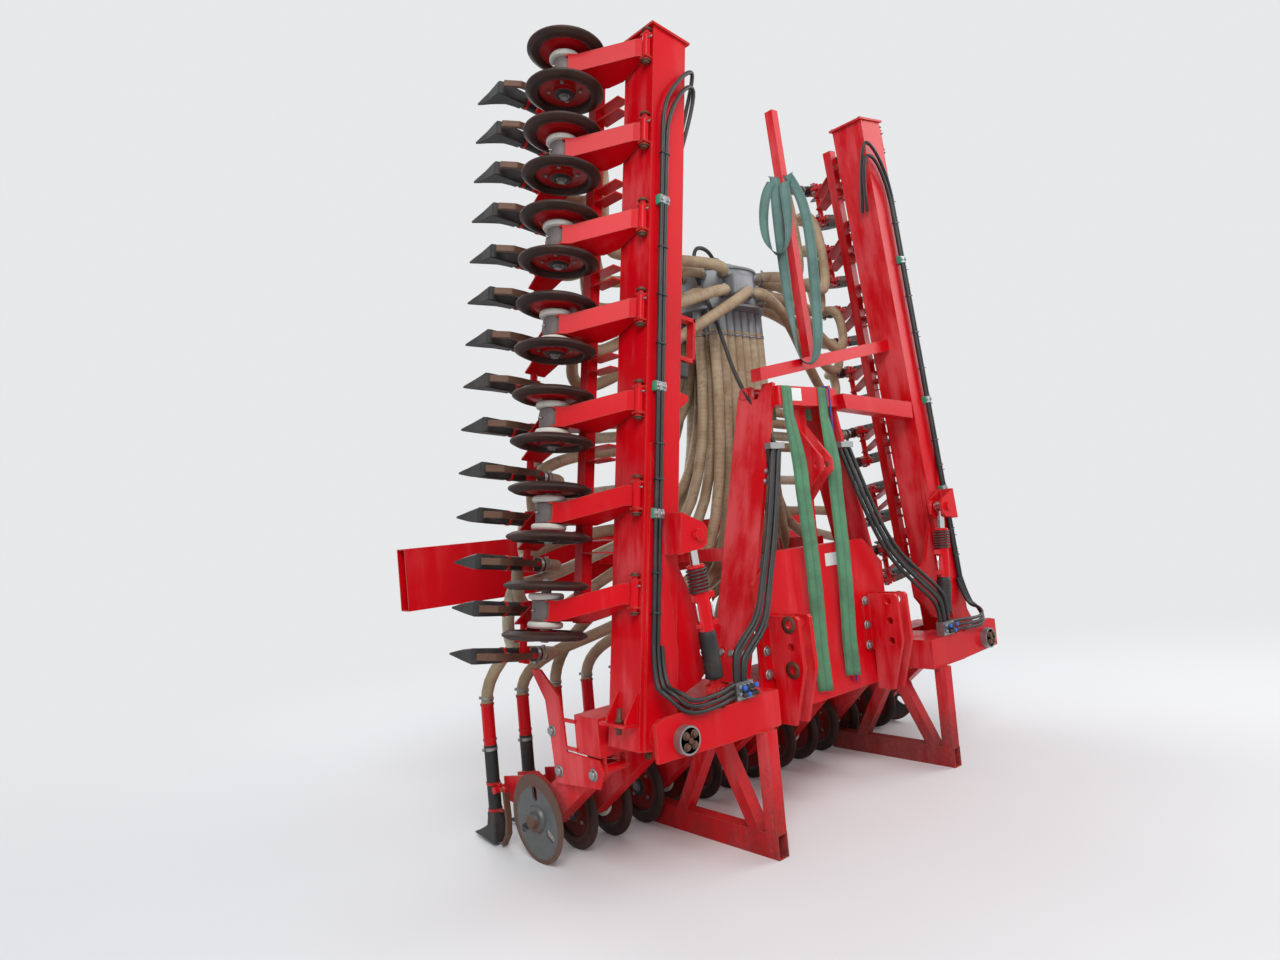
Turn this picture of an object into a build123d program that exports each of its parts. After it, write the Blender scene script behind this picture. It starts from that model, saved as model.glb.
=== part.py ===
from build123d import *
from math import atan2, cos, degrees, hypot, radians, sin
import os

# Folded slurry injector: a three-point mounted grassland injector on its parking stands.
# Frame: X along the working width (-X is the machine's right side), Y to the rear, Z up.
# Sizes below have y = 0 in the plane of the wings' arm pins; ORIGIN_Y moves the whole so that
# its origin is on the floor below the middle of its length and width.

ORIGIN_Y = 571.0

# Rows and wheels
ROW_PITCH = 187.5
CENTRE_ROWS = 7
WING_ARMS = 7
ARM_PITCH = 2 * ROW_PITCH
WHEEL_R = 165.0
WHEEL_RIM_W = 34.0
WHEEL_DISC_T = 6.0
WHEEL_DISH_R = 112.0
WHEEL_DISH_IN = 9.0
WHEEL_EDGE_H = 22.0
RING_R = 70.0
RING_W = 16.0
RING_AT = 52.0
AXLE_R = 20.0
HOUSING_R = 52.0
HOUSING_L = 76.0
END_DISC_R = 182.0
END_DISC_T = 9.0
RUN_GAP = 0.1
SEAT_GAP = 0.05

# Sideways crank of the arms between their pivot and their hub
CRANK = 70.0
CRANK_START = 40.0

# Wing hinges and beams, in the wing's own frame: s outwards along the beam, y, h up when open
HINGE_X = 1144.0
HINGE_Z = 573.0
WING_LEAN = 8.37
FOLD_ANGLE = 90.0 + WING_LEAN
HUB_R = 60.0
HUB_FRONT = -134.0
HUB_REAR = 155.0
HINGE_PIN_R = 35.0
BEAM_W = 180.0
BEAM_WALL = 8.0
BEAM_FRONT = -25.0
BEAM_BOTTOM = -102.0
BEAM_ROOT = -57.0
PIN_DROP = 18.0
PIN_H = BEAM_BOTTOM - PIN_DROP
PIN_R = 12.0
BOSS_R = 17.0
BOSS_L = 96.0
EAR_T = 8.0
CAP_T = 10.0
CAP_OVER = 17.0
CAP_ABOVE_ARM = 88.0
TOP_ARM_S = (CENTRE_ROWS + 2 * WING_ARMS - 0.5) * ROW_PITCH + CRANK - HINGE_X

# Row elements, measured from the arm's pivot: y to the rear, down
WING_HUB = (286.0, 203.0)
CENTRE_HUB = (410.0, 270.0)
SINGLE_OFFSET = 64.0
SHOE_SHIFT = ROW_PITCH / 2
ARM_PLATE_T = 8.0
ARM_PLATE_GAP = 63.0
TUBE_R = 30.0
CROSS_R = 16.0
FOOT_W = 46.0
FOOT_H = 60.0
FOOT_TIP_W = 8.0
FOOT_CLEAR = 10.0
WING_SPEC = {
    "hub": WING_HUB, "tube_y": 586.0, "foot": 128.0, "tube_top": -20.0,
    "crank": CRANK, "shoe_crank": CRANK + SHOE_SHIFT,
    "shoes": (-CRANK - 2 * SHOE_SHIFT, -CRANK),
}
PAIR_SPEC = {
    "hub": CENTRE_HUB, "tube_y": 745.0, "foot": 260.0, "tube_top": 190.0,
    "crank": CRANK, "shoe_crank": CRANK, "shoes": (-CRANK - SHOE_SHIFT, -CRANK + SHOE_SHIFT),
}
END_SPEC = {
    "hub": (CENTRE_HUB[0], CENTRE_HUB[1] + WHEEL_R - 182.0), "tube_y": 745.0, "foot": 260.0, "tube_top": 190.0,
    "rim": 182.0, "crank": 44.0, "shoe_crank": 44.0, "shoes": (44.0 + SINGLE_OFFSET,),
}
SINGLE_SPEC = {
    "hub": CENTRE_HUB, "tube_y": 745.0, "foot": 260.0, "tube_top": 190.0,
    "crank": 0.0, "shoe_crank": 0.0, "shoes": (SINGLE_OFFSET,),
}
RAIL_W = 50.0
RAIL_Y = 300.0

# Frame
REAR_BEAM = 150.0
REAR_BEAM_Y = 175.0
REAR_BEAM_Z = 486.0
REAR_BEAM_HALF = 1280.0
FRONT_BEAM_Y = 30.0
FRONT_BEAM_HALF = 905.0
FORK_PLATE_T = 15.0
FORK_FRONT_Y = -154.0
FORK_OUT_X = 1275.0
FORK_IN_X = 915.0
FLOOR_T = 8.0
CENTRE_PIVOT_Z = WHEEL_R + CENTRE_HUB[1]
CENTRE_PIVOT_Y = 190.0

# Front panel, headstock and link points
PANEL_Y = 20.0
PANEL_T = 10.0
PANEL_HALF = 500.0
PANEL_TOP_HALF = 350.0
PANEL_TOP_Z = 1185.0
PANEL_SHOULDER_Z = 1057.0
MAST_TOP_Z = 1950.0
MAST_TOP_X = 200.0
MAST_FOOT_X = 565.0
MAST_T = 20.0
MAST_FRONT_Y = PANEL_Y + PANEL_T
MAST_REAR_Y = 240.0
LINK_X = 430.0
LINK_GAP = 60.0
LINK_T = 20.0
LINK_HOLE_R = 18.3
LINK_HOLE_Z = (685.0, 781.0, 877.0)
LINK_HOLE_Y = -102.0
TOP_LINK_R = 16.0
TOP_LINK_Z = 1560.0
TOP_LINK_Y = -40.0
TOP_LINK_GAP = 56.0
TOP_LINK_EAR_T = 15.0
HEAD_BOX_Z = (1845.0, 1935.0)

# Parking stands
STAND_X = 718.0
STAND_W = 60.0
STAND_H = 98.0
STAND_FRONT = -180.0
STAND_REAR = 560.0
STAND_WALL = 5.0

# Fold cylinders, in the rest position on the left side
CYL_Y = -82.0
CYL_FOOT = (880.0, 690.0)
CYL_EYE = (947.0, 1304.0)
BARREL_R = 32.0
BARREL_L = 500.0
ROD_R = 18.0
CYL_PIN_R = 15.0
EYE_R = 30.0
EYE_W = 44.0

# Distributor and rear board
DIST_Y = 560.0
DIST_Z = 2400.0
DIST_R = 235.0
DIST_H = 205.0
HOSE_R = 27.0
STUB_Z = DIST_Z - 110.0
CENTRE_HOSE_PITCH = 28.0
CENTRE_HOSE_Y = (485.0, 410.0)
MAST_Y = (560.0, 620.0)
MAST_HALF = 25.0
STUB_OUT = 20.0

# Lanes of the wing hoses, as (y, h) in the wing's frame, from the row nearest the crossing
UPPER_LANES = ((530, -60), (472, -60), (414, -60), (530, -2), (472, -2), (414, -2), (530, 56))
UPPER_CROSSING = (1440, 1595, 1710, 1825, 1940, 2055, 2170)
UPPER_OUTLETS = ((-83, 2470), (-33, 2470), (-58, 2470), (-8, 2470), (-33, 2570), (-58, 2570), (-8, 2570))
LOWER_LANES = ((660, -44), (660, -102), (718, -102), (660, -160), (718, -160), (660, -218), (718, -218))
LOWER_CROSSING = (1330, 1263, 1201, 1118, 930, 735, 560)
LOWER_OUTLET_X = (205, 150, 165, 95, 108, 40, 50)
LINE_R = 9.0
CLAMP_S = (827.0, 1328.0, 2100.0)
FRAME_HOSE_R = 10.0
COUPLING_Z = 712.0
LINE_H = -60.0
LINE_PITCH = 22.0
SLING_W = 60.0
SLING_T = 5.0
ROPE_R = 4.0
BOARD_Y = 1250.0
BOARD_Z = (1050.0, 1340.0)
BOARD_HALF = 1500.0
BOARD_D = 80.0
BOARD_WALL = 5.0

os.makedirs("parts", exist_ok=True)


def save(name, *solids):
    """Write one node as a STEP file; several solids are kept side by side."""
    flat = []
    for s in solids:
        flat.extend(s.solids())
    flat = [Pos(0, -ORIGIN_Y, 0) * s for s in flat]
    shape = flat[0] if len(flat) == 1 else Compound(children=flat)
    shape.label = name
    export_step(shape, os.path.join("parts", name + ".step"))


def block(x0, x1, y0, y1, z0, z1):
    """A box from its limits on the three axes."""
    return Pos((x0 + x1) / 2, (y0 + y1) / 2, (z0 + z1) / 2) * Box(x1 - x0, y1 - y0, z1 - z0)


def plate_y(points, y, thickness):
    """A plate square to Y: an outline of (x, z) points, from y towards the rear."""
    wire = Polyline([(x, y, z) for x, z in points], close=True)
    return extrude(make_face(wire), amount=thickness, dir=(0, 1, 0))


def plate_x(points, x, thickness):
    """A plate square to X: an outline of (y, z) points, from x towards +X."""
    wire = Polyline([(x, y, z) for y, z in points], close=True)
    return extrude(make_face(wire), amount=thickness, dir=(1, 0, 0))


def plate_z(points, z, thickness):
    """A plate square to Z: an outline of (x, y) points, from z upwards."""
    wire = Polyline([(x, y, z) for x, y in points], close=True)
    return extrude(make_face(wire), amount=thickness, dir=(0, 0, 1))


def bar(p, q, radius):
    """A round bar between two points."""
    p, q = Vector(*p), Vector(*q)
    return extrude(Plane(origin=p, z_dir=q - p) * Circle(radius), amount=(q - p).length)


def pipe_x(x0, x1, y, z, radius, bore):
    """A tube along X."""
    return bar((x0, y, z), (x1, y, z), radius) - bar((x0 - 1, y, z), (x1 + 1, y, z), bore)


def box_tube(x0, x1, y0, y1, z0, z1, wall, axis):
    """A rectangular tube, open at both ends of its axis."""
    grow = {"x": (1, -wall, -wall), "y": (-wall, 1, -wall), "z": (-wall, -wall, 1)}[axis]
    gx, gy, gz = grow
    return block(x0, x1, y0, y1, z0, z1) - block(x0 - gx, x1 + gx, y0 - gy, y1 + gy, z0 - gz, z1 + gz)


def hose(points, radius):
    """A hose through points, with each corner rounded as far as its two runs allow."""
    pts = [Vector(*p) for p in points]
    radii = []
    for a, b, c in zip(pts, pts[1:], pts[2:]):
        turn = radians((b - a).get_angle(c - b))
        run = min((b - a).length, (c - b).length)
        radii.append(0.45 * run / max(abs(sin(turn / 2) / cos(turn / 2)), 1e-6))
    path = FilletPolyline(*points, radius=radii)
    start = Plane(origin=path @ 0, z_dir=path % 0)
    return sweep(start * Circle(radius), path=path)


def to_wing(shape, side):
    """Move a piece from the left wing's own frame to its folded place; side is 1 left, -1 right."""
    placed = Pos(HINGE_X, 0, HINGE_Z) * Rotation(0, -FOLD_ANGLE, 0) * shape
    return placed if side > 0 else mirror(placed, about=Plane.YZ)


def wing_place(side, s, y, h):
    """Where a piece that is its own mirror image goes on a wing."""
    return Pos(side * HINGE_X, 0, HINGE_Z) * Rotation(0, -side * FOLD_ANGLE, 0) * Pos(side * s, y, h)


def to_side(shape, side):
    """Mirror a piece of the left side to the right where asked."""
    return shape if side > 0 else mirror(shape, about=Plane.YZ)


def wheel_outline(o, side, rim):
    """The half outline (along, out) of one dished wheel; its middle plane is at o."""
    half = WHEEL_RIM_W / 2
    web = o - side * WHEEL_DISH_IN
    return [
        (web, 0), (web, WHEEL_DISH_R), (o - side * half, rim - WHEEL_EDGE_H), (o, rim),
        (o + side * half, rim - WHEEL_EDGE_H), (web + side * WHEEL_DISC_T, WHEEL_DISH_R),
        (web + side * WHEEL_DISC_T, 0),
    ]


def turned(outline):
    """A solid of revolution about X from its half outline."""
    return revolve(make_face(Polyline([(x, 0, z) for x, z in outline], close=True)), axis=Axis.X)


def wheel_pair():
    """Two wheels on one axle along X, with a plastic ring on each side of the bearing."""
    reach = ROW_PITCH / 2 + WHEEL_RIM_W / 2
    solid = bar((-reach, 0, 0), (reach, 0, 0), AXLE_R)
    for side in (1, -1):
        solid += turned(wheel_outline(side * ROW_PITCH / 2, side, WHEEL_R))
        ring = side * RING_AT
        solid += bar((ring - RING_W / 2, 0, 0), (ring + RING_W / 2, 0, 0), RING_R)
    return solid


def wheel_single():
    """One wheel at the origin with its axle reaching to the arm on the -X side."""
    solid = bar((-SINGLE_OFFSET - HOUSING_L / 2 - 14, 0, 0), (WHEEL_RIM_W / 2, 0, 0), AXLE_R)
    return solid + turned(wheel_outline(0, 1, WHEEL_R))


def end_disc():
    """The plain outermost disc with three oval holes and a domed hub, axle towards -X."""
    t = END_DISC_T / 2
    solid = turned([(-t, 0), (-t, END_DISC_R - 26), (-1.5, END_DISC_R), (1.5, END_DISC_R), (t, END_DISC_R - 26),
                    (t, 58), (t + 12, 52), (t + 14, 34), (t + 34, 30), (t + 38, 0)])
    for k in range(3):
        a = radians(90 + 120 * k)
        wide = Pos(0, 104 * cos(a), 104 * sin(a)) * Rotation(degrees(a), 0, 0)
        solid -= wide * Rotation(0, 90, 0) * extrude(SlotOverall(62, 34, rotation=90), amount=30, both=True)
    solid += bar((-SINGLE_OFFSET - HOUSING_L / 2 - 14, 0, 0), (0, 0, 0), AXLE_R)
    return solid


def row_arm(spec):
    """One arm with its pivot boss and pin at the origin, side plates, bearing housing and the
    cross tube that holds the shoes. It trails to +Y and goes down to the hub."""
    hy, hd = spec["hub"]
    ty = spec["tube_y"]
    crank, shoe_s = -spec["crank"], -spec["shoe_crank"]
    half = ARM_PLATE_GAP / 2
    end = ty - TUBE_R - 22
    run = [(-10, 0), (CRANK_START, 0), (hy - 84, crank), (hy + 84, crank), (end, shoe_s)]
    profile = [
        (-6, 14), (CRANK_START, -26), (hy - 60, -hd - 30), (hy + 20, -hd - 44),
        (hy + 120, -hd + 10), (end, -hd + 20), (end, -hd + 120), (hy + 120, -hd + 150),
        (hy + 10, -hd + 100), (CRANK_START + 110, 6), (20, 16),
    ]
    side = plate_x(profile, -400, 800)
    low, high = -hd - 60, 30
    solid = Part()
    for s0, s1 in ((-half - ARM_PLATE_T, -half), (half, half + ARM_PLATE_T)):
        strip = [(s + s0, y) for y, s in run] + [(s + s1, y) for y, s in reversed(run)]
        solid += plate_z(strip, low, high - low) & side
    front = [(-half - 1, CRANK_START - 30), (half + 1, CRANK_START - 30), (half + 1, CRANK_START),
             (crank + half + 1, hy - 84), (crank + half + 1, hy - 60), (crank - half - 1, hy - 60),
             (crank - half - 1, hy - 84), (-half - 1, CRANK_START)]
    band = [(0, 8), (CRANK_START, -26), (hy - 60, -hd - 30), (hy - 60, -hd - 20), (CRANK_START, -16), (0, 18)]
    solid += plate_z(front, low, high - low) & plate_x(band, -400, 800)
    reach = BOSS_L / 2 + EAR_T + 12
    solid += bar((-BOSS_L / 2, 0, 0), (BOSS_L / 2, 0, 0), BOSS_R)
    solid += bar((-reach, 0, 0), (reach, 0, 0), PIN_R)
    solid += bar((crank - HOUSING_L / 2, hy, -hd), (crank + HOUSING_L / 2, hy, -hd), HOUSING_R)
    solid -= bar((crank - 200, hy, -hd), (crank + 200, hy, -hd), AXLE_R + RUN_GAP)
    rows = spec["shoes"]
    cross_y = ty - TUBE_R - CROSS_R - SEAT_GAP
    cross = bar((min(rows) - TUBE_R, cross_y, -hd + 70), (max(rows) + TUBE_R, cross_y, -hd + 70), CROSS_R)
    return solid + cross


def shoe(s, spec):
    """A rubber slurry tube that comes down behind the wheel and ends in a pointed foot."""
    hy, hd = spec["hub"]
    ty, length = spec["tube_y"], spec["foot"]
    low = -hd - spec.get("rim", WHEEL_R) + FOOT_CLEAR
    tube = bar((s, ty, low + 58), (s, ty, spec["tube_top"]), TUBE_R)
    heel, tip, x0 = ty - TUBE_R, ty + length, s - FOOT_W / 2
    edge = Polyline((x0, tip, low), (x0, heel, low), (x0, heel, low + FOOT_H), (x0, ty + TUBE_R, low + FOOT_H))
    back = ThreePointArc((x0, ty + TUBE_R, low + FOOT_H), (x0, ty + TUBE_R + 0.5 * (length - TUBE_R), low + 0.68 * FOOT_H),
                         (x0, tip, low))
    side = extrude(make_face(edge + back), amount=FOOT_W, dir=(1, 0, 0))
    plan = plate_z(
        [(x0, heel), (x0 + FOOT_W, heel), (x0 + FOOT_W, ty + TUBE_R), (s + FOOT_TIP_W / 2, tip),
         (s - FOOT_TIP_W / 2, tip), (x0, ty + TUBE_R)], low - 1, FOOT_H + 2)
    return tube + (side & plan)


def arm_ears(x, y, z, top):
    """The two ears of one arm's pin, hanging from a beam face at height top."""
    solid = Part()
    for x0 in (x - BOSS_L / 2 - SEAT_GAP - EAR_T, x + BOSS_L / 2 + SEAT_GAP):
        ear = block(x0, x0 + EAR_T, y - 16, y + 22, z - 15, top + 1)
        ear -= bar((x0 - 5, y, z), (x0 + EAR_T + 5, y, z), PIN_R + SEAT_GAP)
        solid += ear
    return solid


def main_frame():
    """The rear and front cross beams, and on each side a box with its hinge fork and floor plate."""
    rear = box_tube(-REAR_BEAM_HALF, REAR_BEAM_HALF, REAR_BEAM_Y, REAR_BEAM_Y + REAR_BEAM,
                    REAR_BEAM_Z, REAR_BEAM_Z + REAR_BEAM, 8, "x")
    top = REAR_BEAM_Z + REAR_BEAM
    front = box_tube(-FRONT_BEAM_HALF, FRONT_BEAM_HALF, FRONT_BEAM_Y, REAR_BEAM_Y,
                     REAR_BEAM_Z, top, 8, "x")
    solid = rear + front
    boxes = []
    front_end = FRONT_BEAM_Y - SEAT_GAP
    for side in (1, -1):
        outline = [
            (FORK_IN_X, 502), (FORK_OUT_X, 515), (FORK_OUT_X, 655), (FORK_OUT_X - 60, 668),
            (HINGE_X - 70, 668), (FORK_IN_X, 636),
        ]
        fork = plate_y(outline, FORK_FRONT_Y, FORK_PLATE_T)
        fork -= bar((HINGE_X, -200, HINGE_Z), (HINGE_X, 0, HINGE_Z), HINGE_PIN_R + SEAT_GAP)
        box_in = 600.0
        cheek = block(FORK_IN_X - 12, FORK_IN_X, FORK_FRONT_Y, front_end, 500, top)
        inner = block(box_in, box_in + 12, FORK_FRONT_Y, front_end, 500, top)
        face = block(box_in, FORK_IN_X, FORK_FRONT_Y, FORK_FRONT_Y + 12, 500, top)
        floor = block(box_in, FORK_IN_X, FORK_FRONT_Y, front_end, top, top + FLOOR_T)
        cap = block(REAR_BEAM_HALF - 8, REAR_BEAM_HALF, REAR_BEAM_Y, REAR_BEAM_Y + REAR_BEAM, REAR_BEAM_Z, top)
        bearing = bar((HINGE_X, REAR_BEAM_Y - 15, HINGE_Z), (HINGE_X, REAR_BEAM_Y, HINGE_Z), HUB_R + 12)
        bearing -= bar((HINGE_X, 0, HINGE_Z), (HINGE_X, REAR_BEAM_Y, HINGE_Z), HINGE_PIN_R + SEAT_GAP)
        for piece in (cap, bearing):
            solid += to_side(piece, side)
        side_box = fork + cheek + inner + face + floor
        foot_x, foot_z = CYL_FOOT
        for y0 in (CYL_Y - EYE_W / 2 - 2 - 12, CYL_Y + EYE_W / 2 + 2):
            ear = plate_y([(foot_x - 34, top + FLOOR_T), (foot_x + 28, top + FLOOR_T),
                           (foot_x + 24, foot_z + 18), (foot_x, foot_z + 28), (foot_x - 24, foot_z + 18)],
                          y0, 12)
            ear -= bar((foot_x, y0 - 5, foot_z), (foot_x, y0 + 20, foot_z), CYL_PIN_R + SEAT_GAP)
            side_box += ear
        boxes.append(to_side(side_box, side))
    for x, kind in centre_axles():
        solid += arm_ears(pivot_x(x, kind), CENTRE_PIVOT_Y, CENTRE_PIVOT_Z, REAR_BEAM_Z)
    return [solid, *boxes]


def pivot_x(x, kind):
    """Where the arm of an axle at x has its pivot."""
    side = 1 if x >= 0 else -1
    back = {"pair": CRANK, "single": SINGLE_OFFSET, "end": SINGLE_OFFSET + END_SPEC["crank"]}[kind]
    return x - side * back


def centre_axles():
    """(middle of the axle's bearing, sort of arm) for each axle of the centre section."""
    axles = [(-CENTRE_ROWS * ROW_PITCH, "end"), (0.0, "single"), (CENTRE_ROWS * ROW_PITCH, "end")]
    for k in (1, 3, 5):
        for side in (1, -1):
            axles.append((side * (k + 0.5) * ROW_PITCH, "pair"))
    return sorted(axles)


def front_panel():
    """The folded front sheet between the link brackets, with its turned back top edge."""
    low = REAR_BEAM_Z - 6
    sheet = plate_y([(-PANEL_HALF, low), (PANEL_HALF, low), (PANEL_HALF, PANEL_SHOULDER_Z),
                     (PANEL_TOP_HALF, PANEL_TOP_Z), (-PANEL_TOP_HALF, PANEL_TOP_Z),
                     (-PANEL_HALF, PANEL_SHOULDER_Z)], PANEL_Y, PANEL_T - SEAT_GAP)
    skirt = plate_x([(PANEL_Y, REAR_BEAM_Z + 150), (PANEL_Y - 22, REAR_BEAM_Z + 20),
                     (PANEL_Y - 22, low), (PANEL_Y, low)], -PANEL_HALF, 2 * PANEL_HALF)
    lip = block(-PANEL_TOP_HALF, PANEL_TOP_HALF, PANEL_Y, PANEL_Y + 60, PANEL_TOP_Z - 8, PANEL_TOP_Z)
    return sheet + skirt + lip


def link_brackets():
    """Two pairs of lower link plates, each with three holes, in front of their backing plates."""
    parts = []
    back = PANEL_Y - 12 - 2 * SEAT_GAP
    outline = [(back, 448), (LINK_HOLE_Y + 14, 448), (-159, 686), (-150, 900), (-138, 912), (back, 912)]
    skirt_cut = block(-2000, 2000, PANEL_Y - 23, PANEL_Y + 1, 0, REAR_BEAM_Z + 152)
    for side in (1, -1):
        for x0 in (LINK_X - LINK_T, LINK_X - 2 * LINK_T - LINK_GAP):
            p = plate_x(outline, x0, LINK_T) - skirt_cut
            for z in LINK_HOLE_Z:
                p -= bar((x0 - 5, LINK_HOLE_Y, z), (x0 + LINK_T + 5, LINK_HOLE_Y, z), LINK_HOLE_R)
            parts.append(to_side(p, side))
        tie = block(LINK_X - 2 * LINK_T - LINK_GAP - 46, LINK_X + 46, PANEL_Y - 12 - SEAT_GAP,
                    PANEL_Y - SEAT_GAP, 650, 900)
        parts.append(to_side(tie, side))
    return parts


def headstock():
    """Two splayed side plates with a top box and a cross pin."""
    lean = degrees(atan2(MAST_FOOT_X - MAST_TOP_X, MAST_TOP_Z - (REAR_BEAM_Z + REAR_BEAM)))
    length = hypot(MAST_FOOT_X - MAST_TOP_X, MAST_TOP_Z - (REAR_BEAM_Z + REAR_BEAM))
    f, r = MAST_FRONT_Y, MAST_REAR_Y
    outline = [(f, 0), (r, 0), (r, length - 40), (r - 30, length), (f + 130, length),
               (f + 118, length - 70), (f + 84, length - 70), (f + 60, length), (f, length)]
    solid = Part()
    foot_z = REAR_BEAM_Z + REAR_BEAM
    for side in (1, -1):
        p = plate_x(outline, 0, MAST_T)
        p = Pos(MAST_FOOT_X, 0, foot_z) * Rotation(0, -lean, 0) * p
        p &= block(0, 2000, -500, 500, foot_z, 3000)
        solid += to_side(p, side)
    solid += block(-MAST_TOP_X - 22, MAST_TOP_X + 22, 0, 100, *HEAD_BOX_Z)
    solid += bar((-MAST_TOP_X - 38, 195, 1925), (MAST_TOP_X + 38, 195, 1925), 28)
    return solid


def top_link_bracket():
    """The inner mast plate between panel and top box, and the two ears of the top link."""
    half, back = TOP_LINK_GAP / 2, PANEL_Y + 40
    t = TOP_LINK_EAR_T
    low, high = PANEL_TOP_Z + SEAT_GAP, HEAD_BOX_Z[0] - SEAT_GAP
    solids = [block(-half - t, half + t, back, back + 15, low, high)]
    front = back - SEAT_GAP
    ear = [(front, TOP_LINK_Z - 160), (TOP_LINK_Y + 10, TOP_LINK_Z - 60), (TOP_LINK_Y - 30, TOP_LINK_Z - 30),
           (TOP_LINK_Y - 30, TOP_LINK_Z + 30), (TOP_LINK_Y + 10, TOP_LINK_Z + 80), (front, TOP_LINK_Z + 200)]
    for x0 in (-half - t, half):
        p = plate_x(ear, x0, t)
        p -= bar((x0 - 5, TOP_LINK_Y, TOP_LINK_Z), (x0 + t + 5, TOP_LINK_Y, TOP_LINK_Z), TOP_LINK_R)
        solids.append(p)
    return solids


def stand(side):
    """One parking stand: a base tube, an upright and two splayed legs."""
    x0, x1 = STAND_X - STAND_W, STAND_X
    top = 500.0 - SEAT_GAP
    base = box_tube(x0, x1, STAND_FRONT, STAND_REAR, 0, STAND_H, STAND_WALL, "y")
    post = block(x0, x1, STAND_FRONT + 2, STAND_FRONT + 62, STAND_H, top)
    legs = Part()
    for y_foot in (-90.0, 330.0):
        legs += plate_x([(y_foot, STAND_H), (y_foot + 60, STAND_H), (140 + 34, REAR_BEAM_Z - SEAT_GAP),
                         (140 - 34, REAR_BEAM_Z - SEAT_GAP)], x0, STAND_W)
    head = block(x0 - 10, x1 + 10, STAND_FRONT + 26, FRONT_BEAM_Y - 2, top - 12, top)
    return to_side(base + post + legs + head, side)


def rear_board():
    """A wide channel behind the machine, open at its ends, on two arms from the rear beam."""
    z0, z1 = BOARD_Z
    channel = box_tube(-BOARD_HALF, BOARD_HALF, BOARD_Y, BOARD_Y + BOARD_D, z0, z1, BOARD_WALL, "x")
    solid = channel
    for side in (1, -1):
        for piece in (
            block(300, 360, REAR_BEAM_Y + REAR_BEAM - 60, REAR_BEAM_Y + REAR_BEAM, 636 + SEAT_GAP, 1150),
            block(300, 360, REAR_BEAM_Y + REAR_BEAM - 60, BOARD_Y, 1150, 1210),
        ):
            solid += to_side(piece, side)
    return solid


def distributor():
    """The slurry distributor: a tapering drum with a flared skirt, its motor and its outlets."""
    drum = Pos(0, DIST_Y, DIST_Z + DIST_H / 2) * Cylinder(DIST_R, DIST_H)
    skirt = Pos(0, DIST_Y, DIST_Z) * Cylinder(DIST_R + 28, 12)
    hat = Pos(0, DIST_Y, DIST_Z + DIST_H + 25) * Cone(DIST_R, 130, 50)
    motor = Pos(0, DIST_Y, DIST_Z + DIST_H + 70) * Cylinder(60, 60)
    solid = drum + skirt + hat + motor
    stub = HOSE_R - 1
    for k in range(-CENTRE_ROWS, CENTRE_ROWS + 1):
        x, y = CENTRE_HOSE_PITCH * k, CENTRE_HOSE_Y[0 if k % 2 else 1]
        solid += bar((x, y, STUB_Z + SEAT_GAP), (x, y, DIST_Z + 10), stub)
    for side in (1, -1):
        for (y, _), x in zip(LOWER_LANES, LOWER_OUTLET_X):
            solid += bar((side * x, y, STUB_Z + SEAT_GAP), (side * x, y, DIST_Z + 10), stub)
        for angle, z in UPPER_OUTLETS:
            ux, uy = side * cos(radians(angle)), sin(radians(angle))
            foot = (ux * (DIST_R - 80), DIST_Y + uy * (DIST_R - 80), z)
            out = DIST_R + STUB_OUT - SEAT_GAP
            solid += bar(foot, (ux * out, DIST_Y + uy * out, z), stub)
    return solid


def distributor_mast():
    """The square mast under the distributor and its cranked foot on the rear beam."""
    top = REAR_BEAM_Z + REAR_BEAM
    mast = block(-MAST_HALF, MAST_HALF, *MAST_Y, 1070, DIST_Z - 6 - SEAT_GAP)
    tie = block(-MAST_HALF, MAST_HALF, REAR_BEAM_Y + 90, MAST_Y[1], 1070, 1150)
    post = block(-MAST_HALF, MAST_HALF, REAR_BEAM_Y + 20, REAR_BEAM_Y + 100, top + SEAT_GAP, 1150)
    return mast + tie + post


def wing_point(side, s, y, h):
    """A point of a wing's own frame in the whole machine, wings folded."""
    f = radians(FOLD_ANGLE)
    return (side * (HINGE_X + s * cos(f) - h * sin(f)), y, HINGE_Z + s * sin(f) + h * cos(f))


def centre_hose_points(k):
    """From the distributor down behind the headstock to the tube of centre row k."""
    x, row_x = CENTRE_HOSE_PITCH * k, ROW_PITCH * k
    tube_y = CENTRE_PIVOT_Y + PAIR_SPEC["tube_y"]
    tube_z = CENTRE_PIVOT_Z + PAIR_SPEC["tube_top"]
    odd, even = CENTRE_HOSE_Y
    if k == 0:
        mid = [(0, even, 1400), (-12, 478, 1290), (-84, 496, 1200), (-84, 700, 920), (0, tube_y, tube_z + 165)]
        return [(0, even, STUB_Z)] + mid + [(0, tube_y, tube_z)]
    if k % 2:
        top = [(x, odd, 1900), (x, odd - 20, 1280)] if abs(k) == 3 else [(x, odd, 1400)]
        bend = top[-1][2]
        mid = top + [(x + 0.55 * (row_x - x), 640, bend - 270), (row_x, tube_y, tube_z + 175)]
        return [(x, odd, STUB_Z)] + mid + [(row_x, tube_y, tube_z)]
    mid = [(x, even, 1130), (x + 0.6 * (row_x - x), 640, 900), (row_x, tube_y, tube_z + 135)]
    return [(x, even, STUB_Z)] + mid + [(row_x, tube_y, tube_z)]


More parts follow.
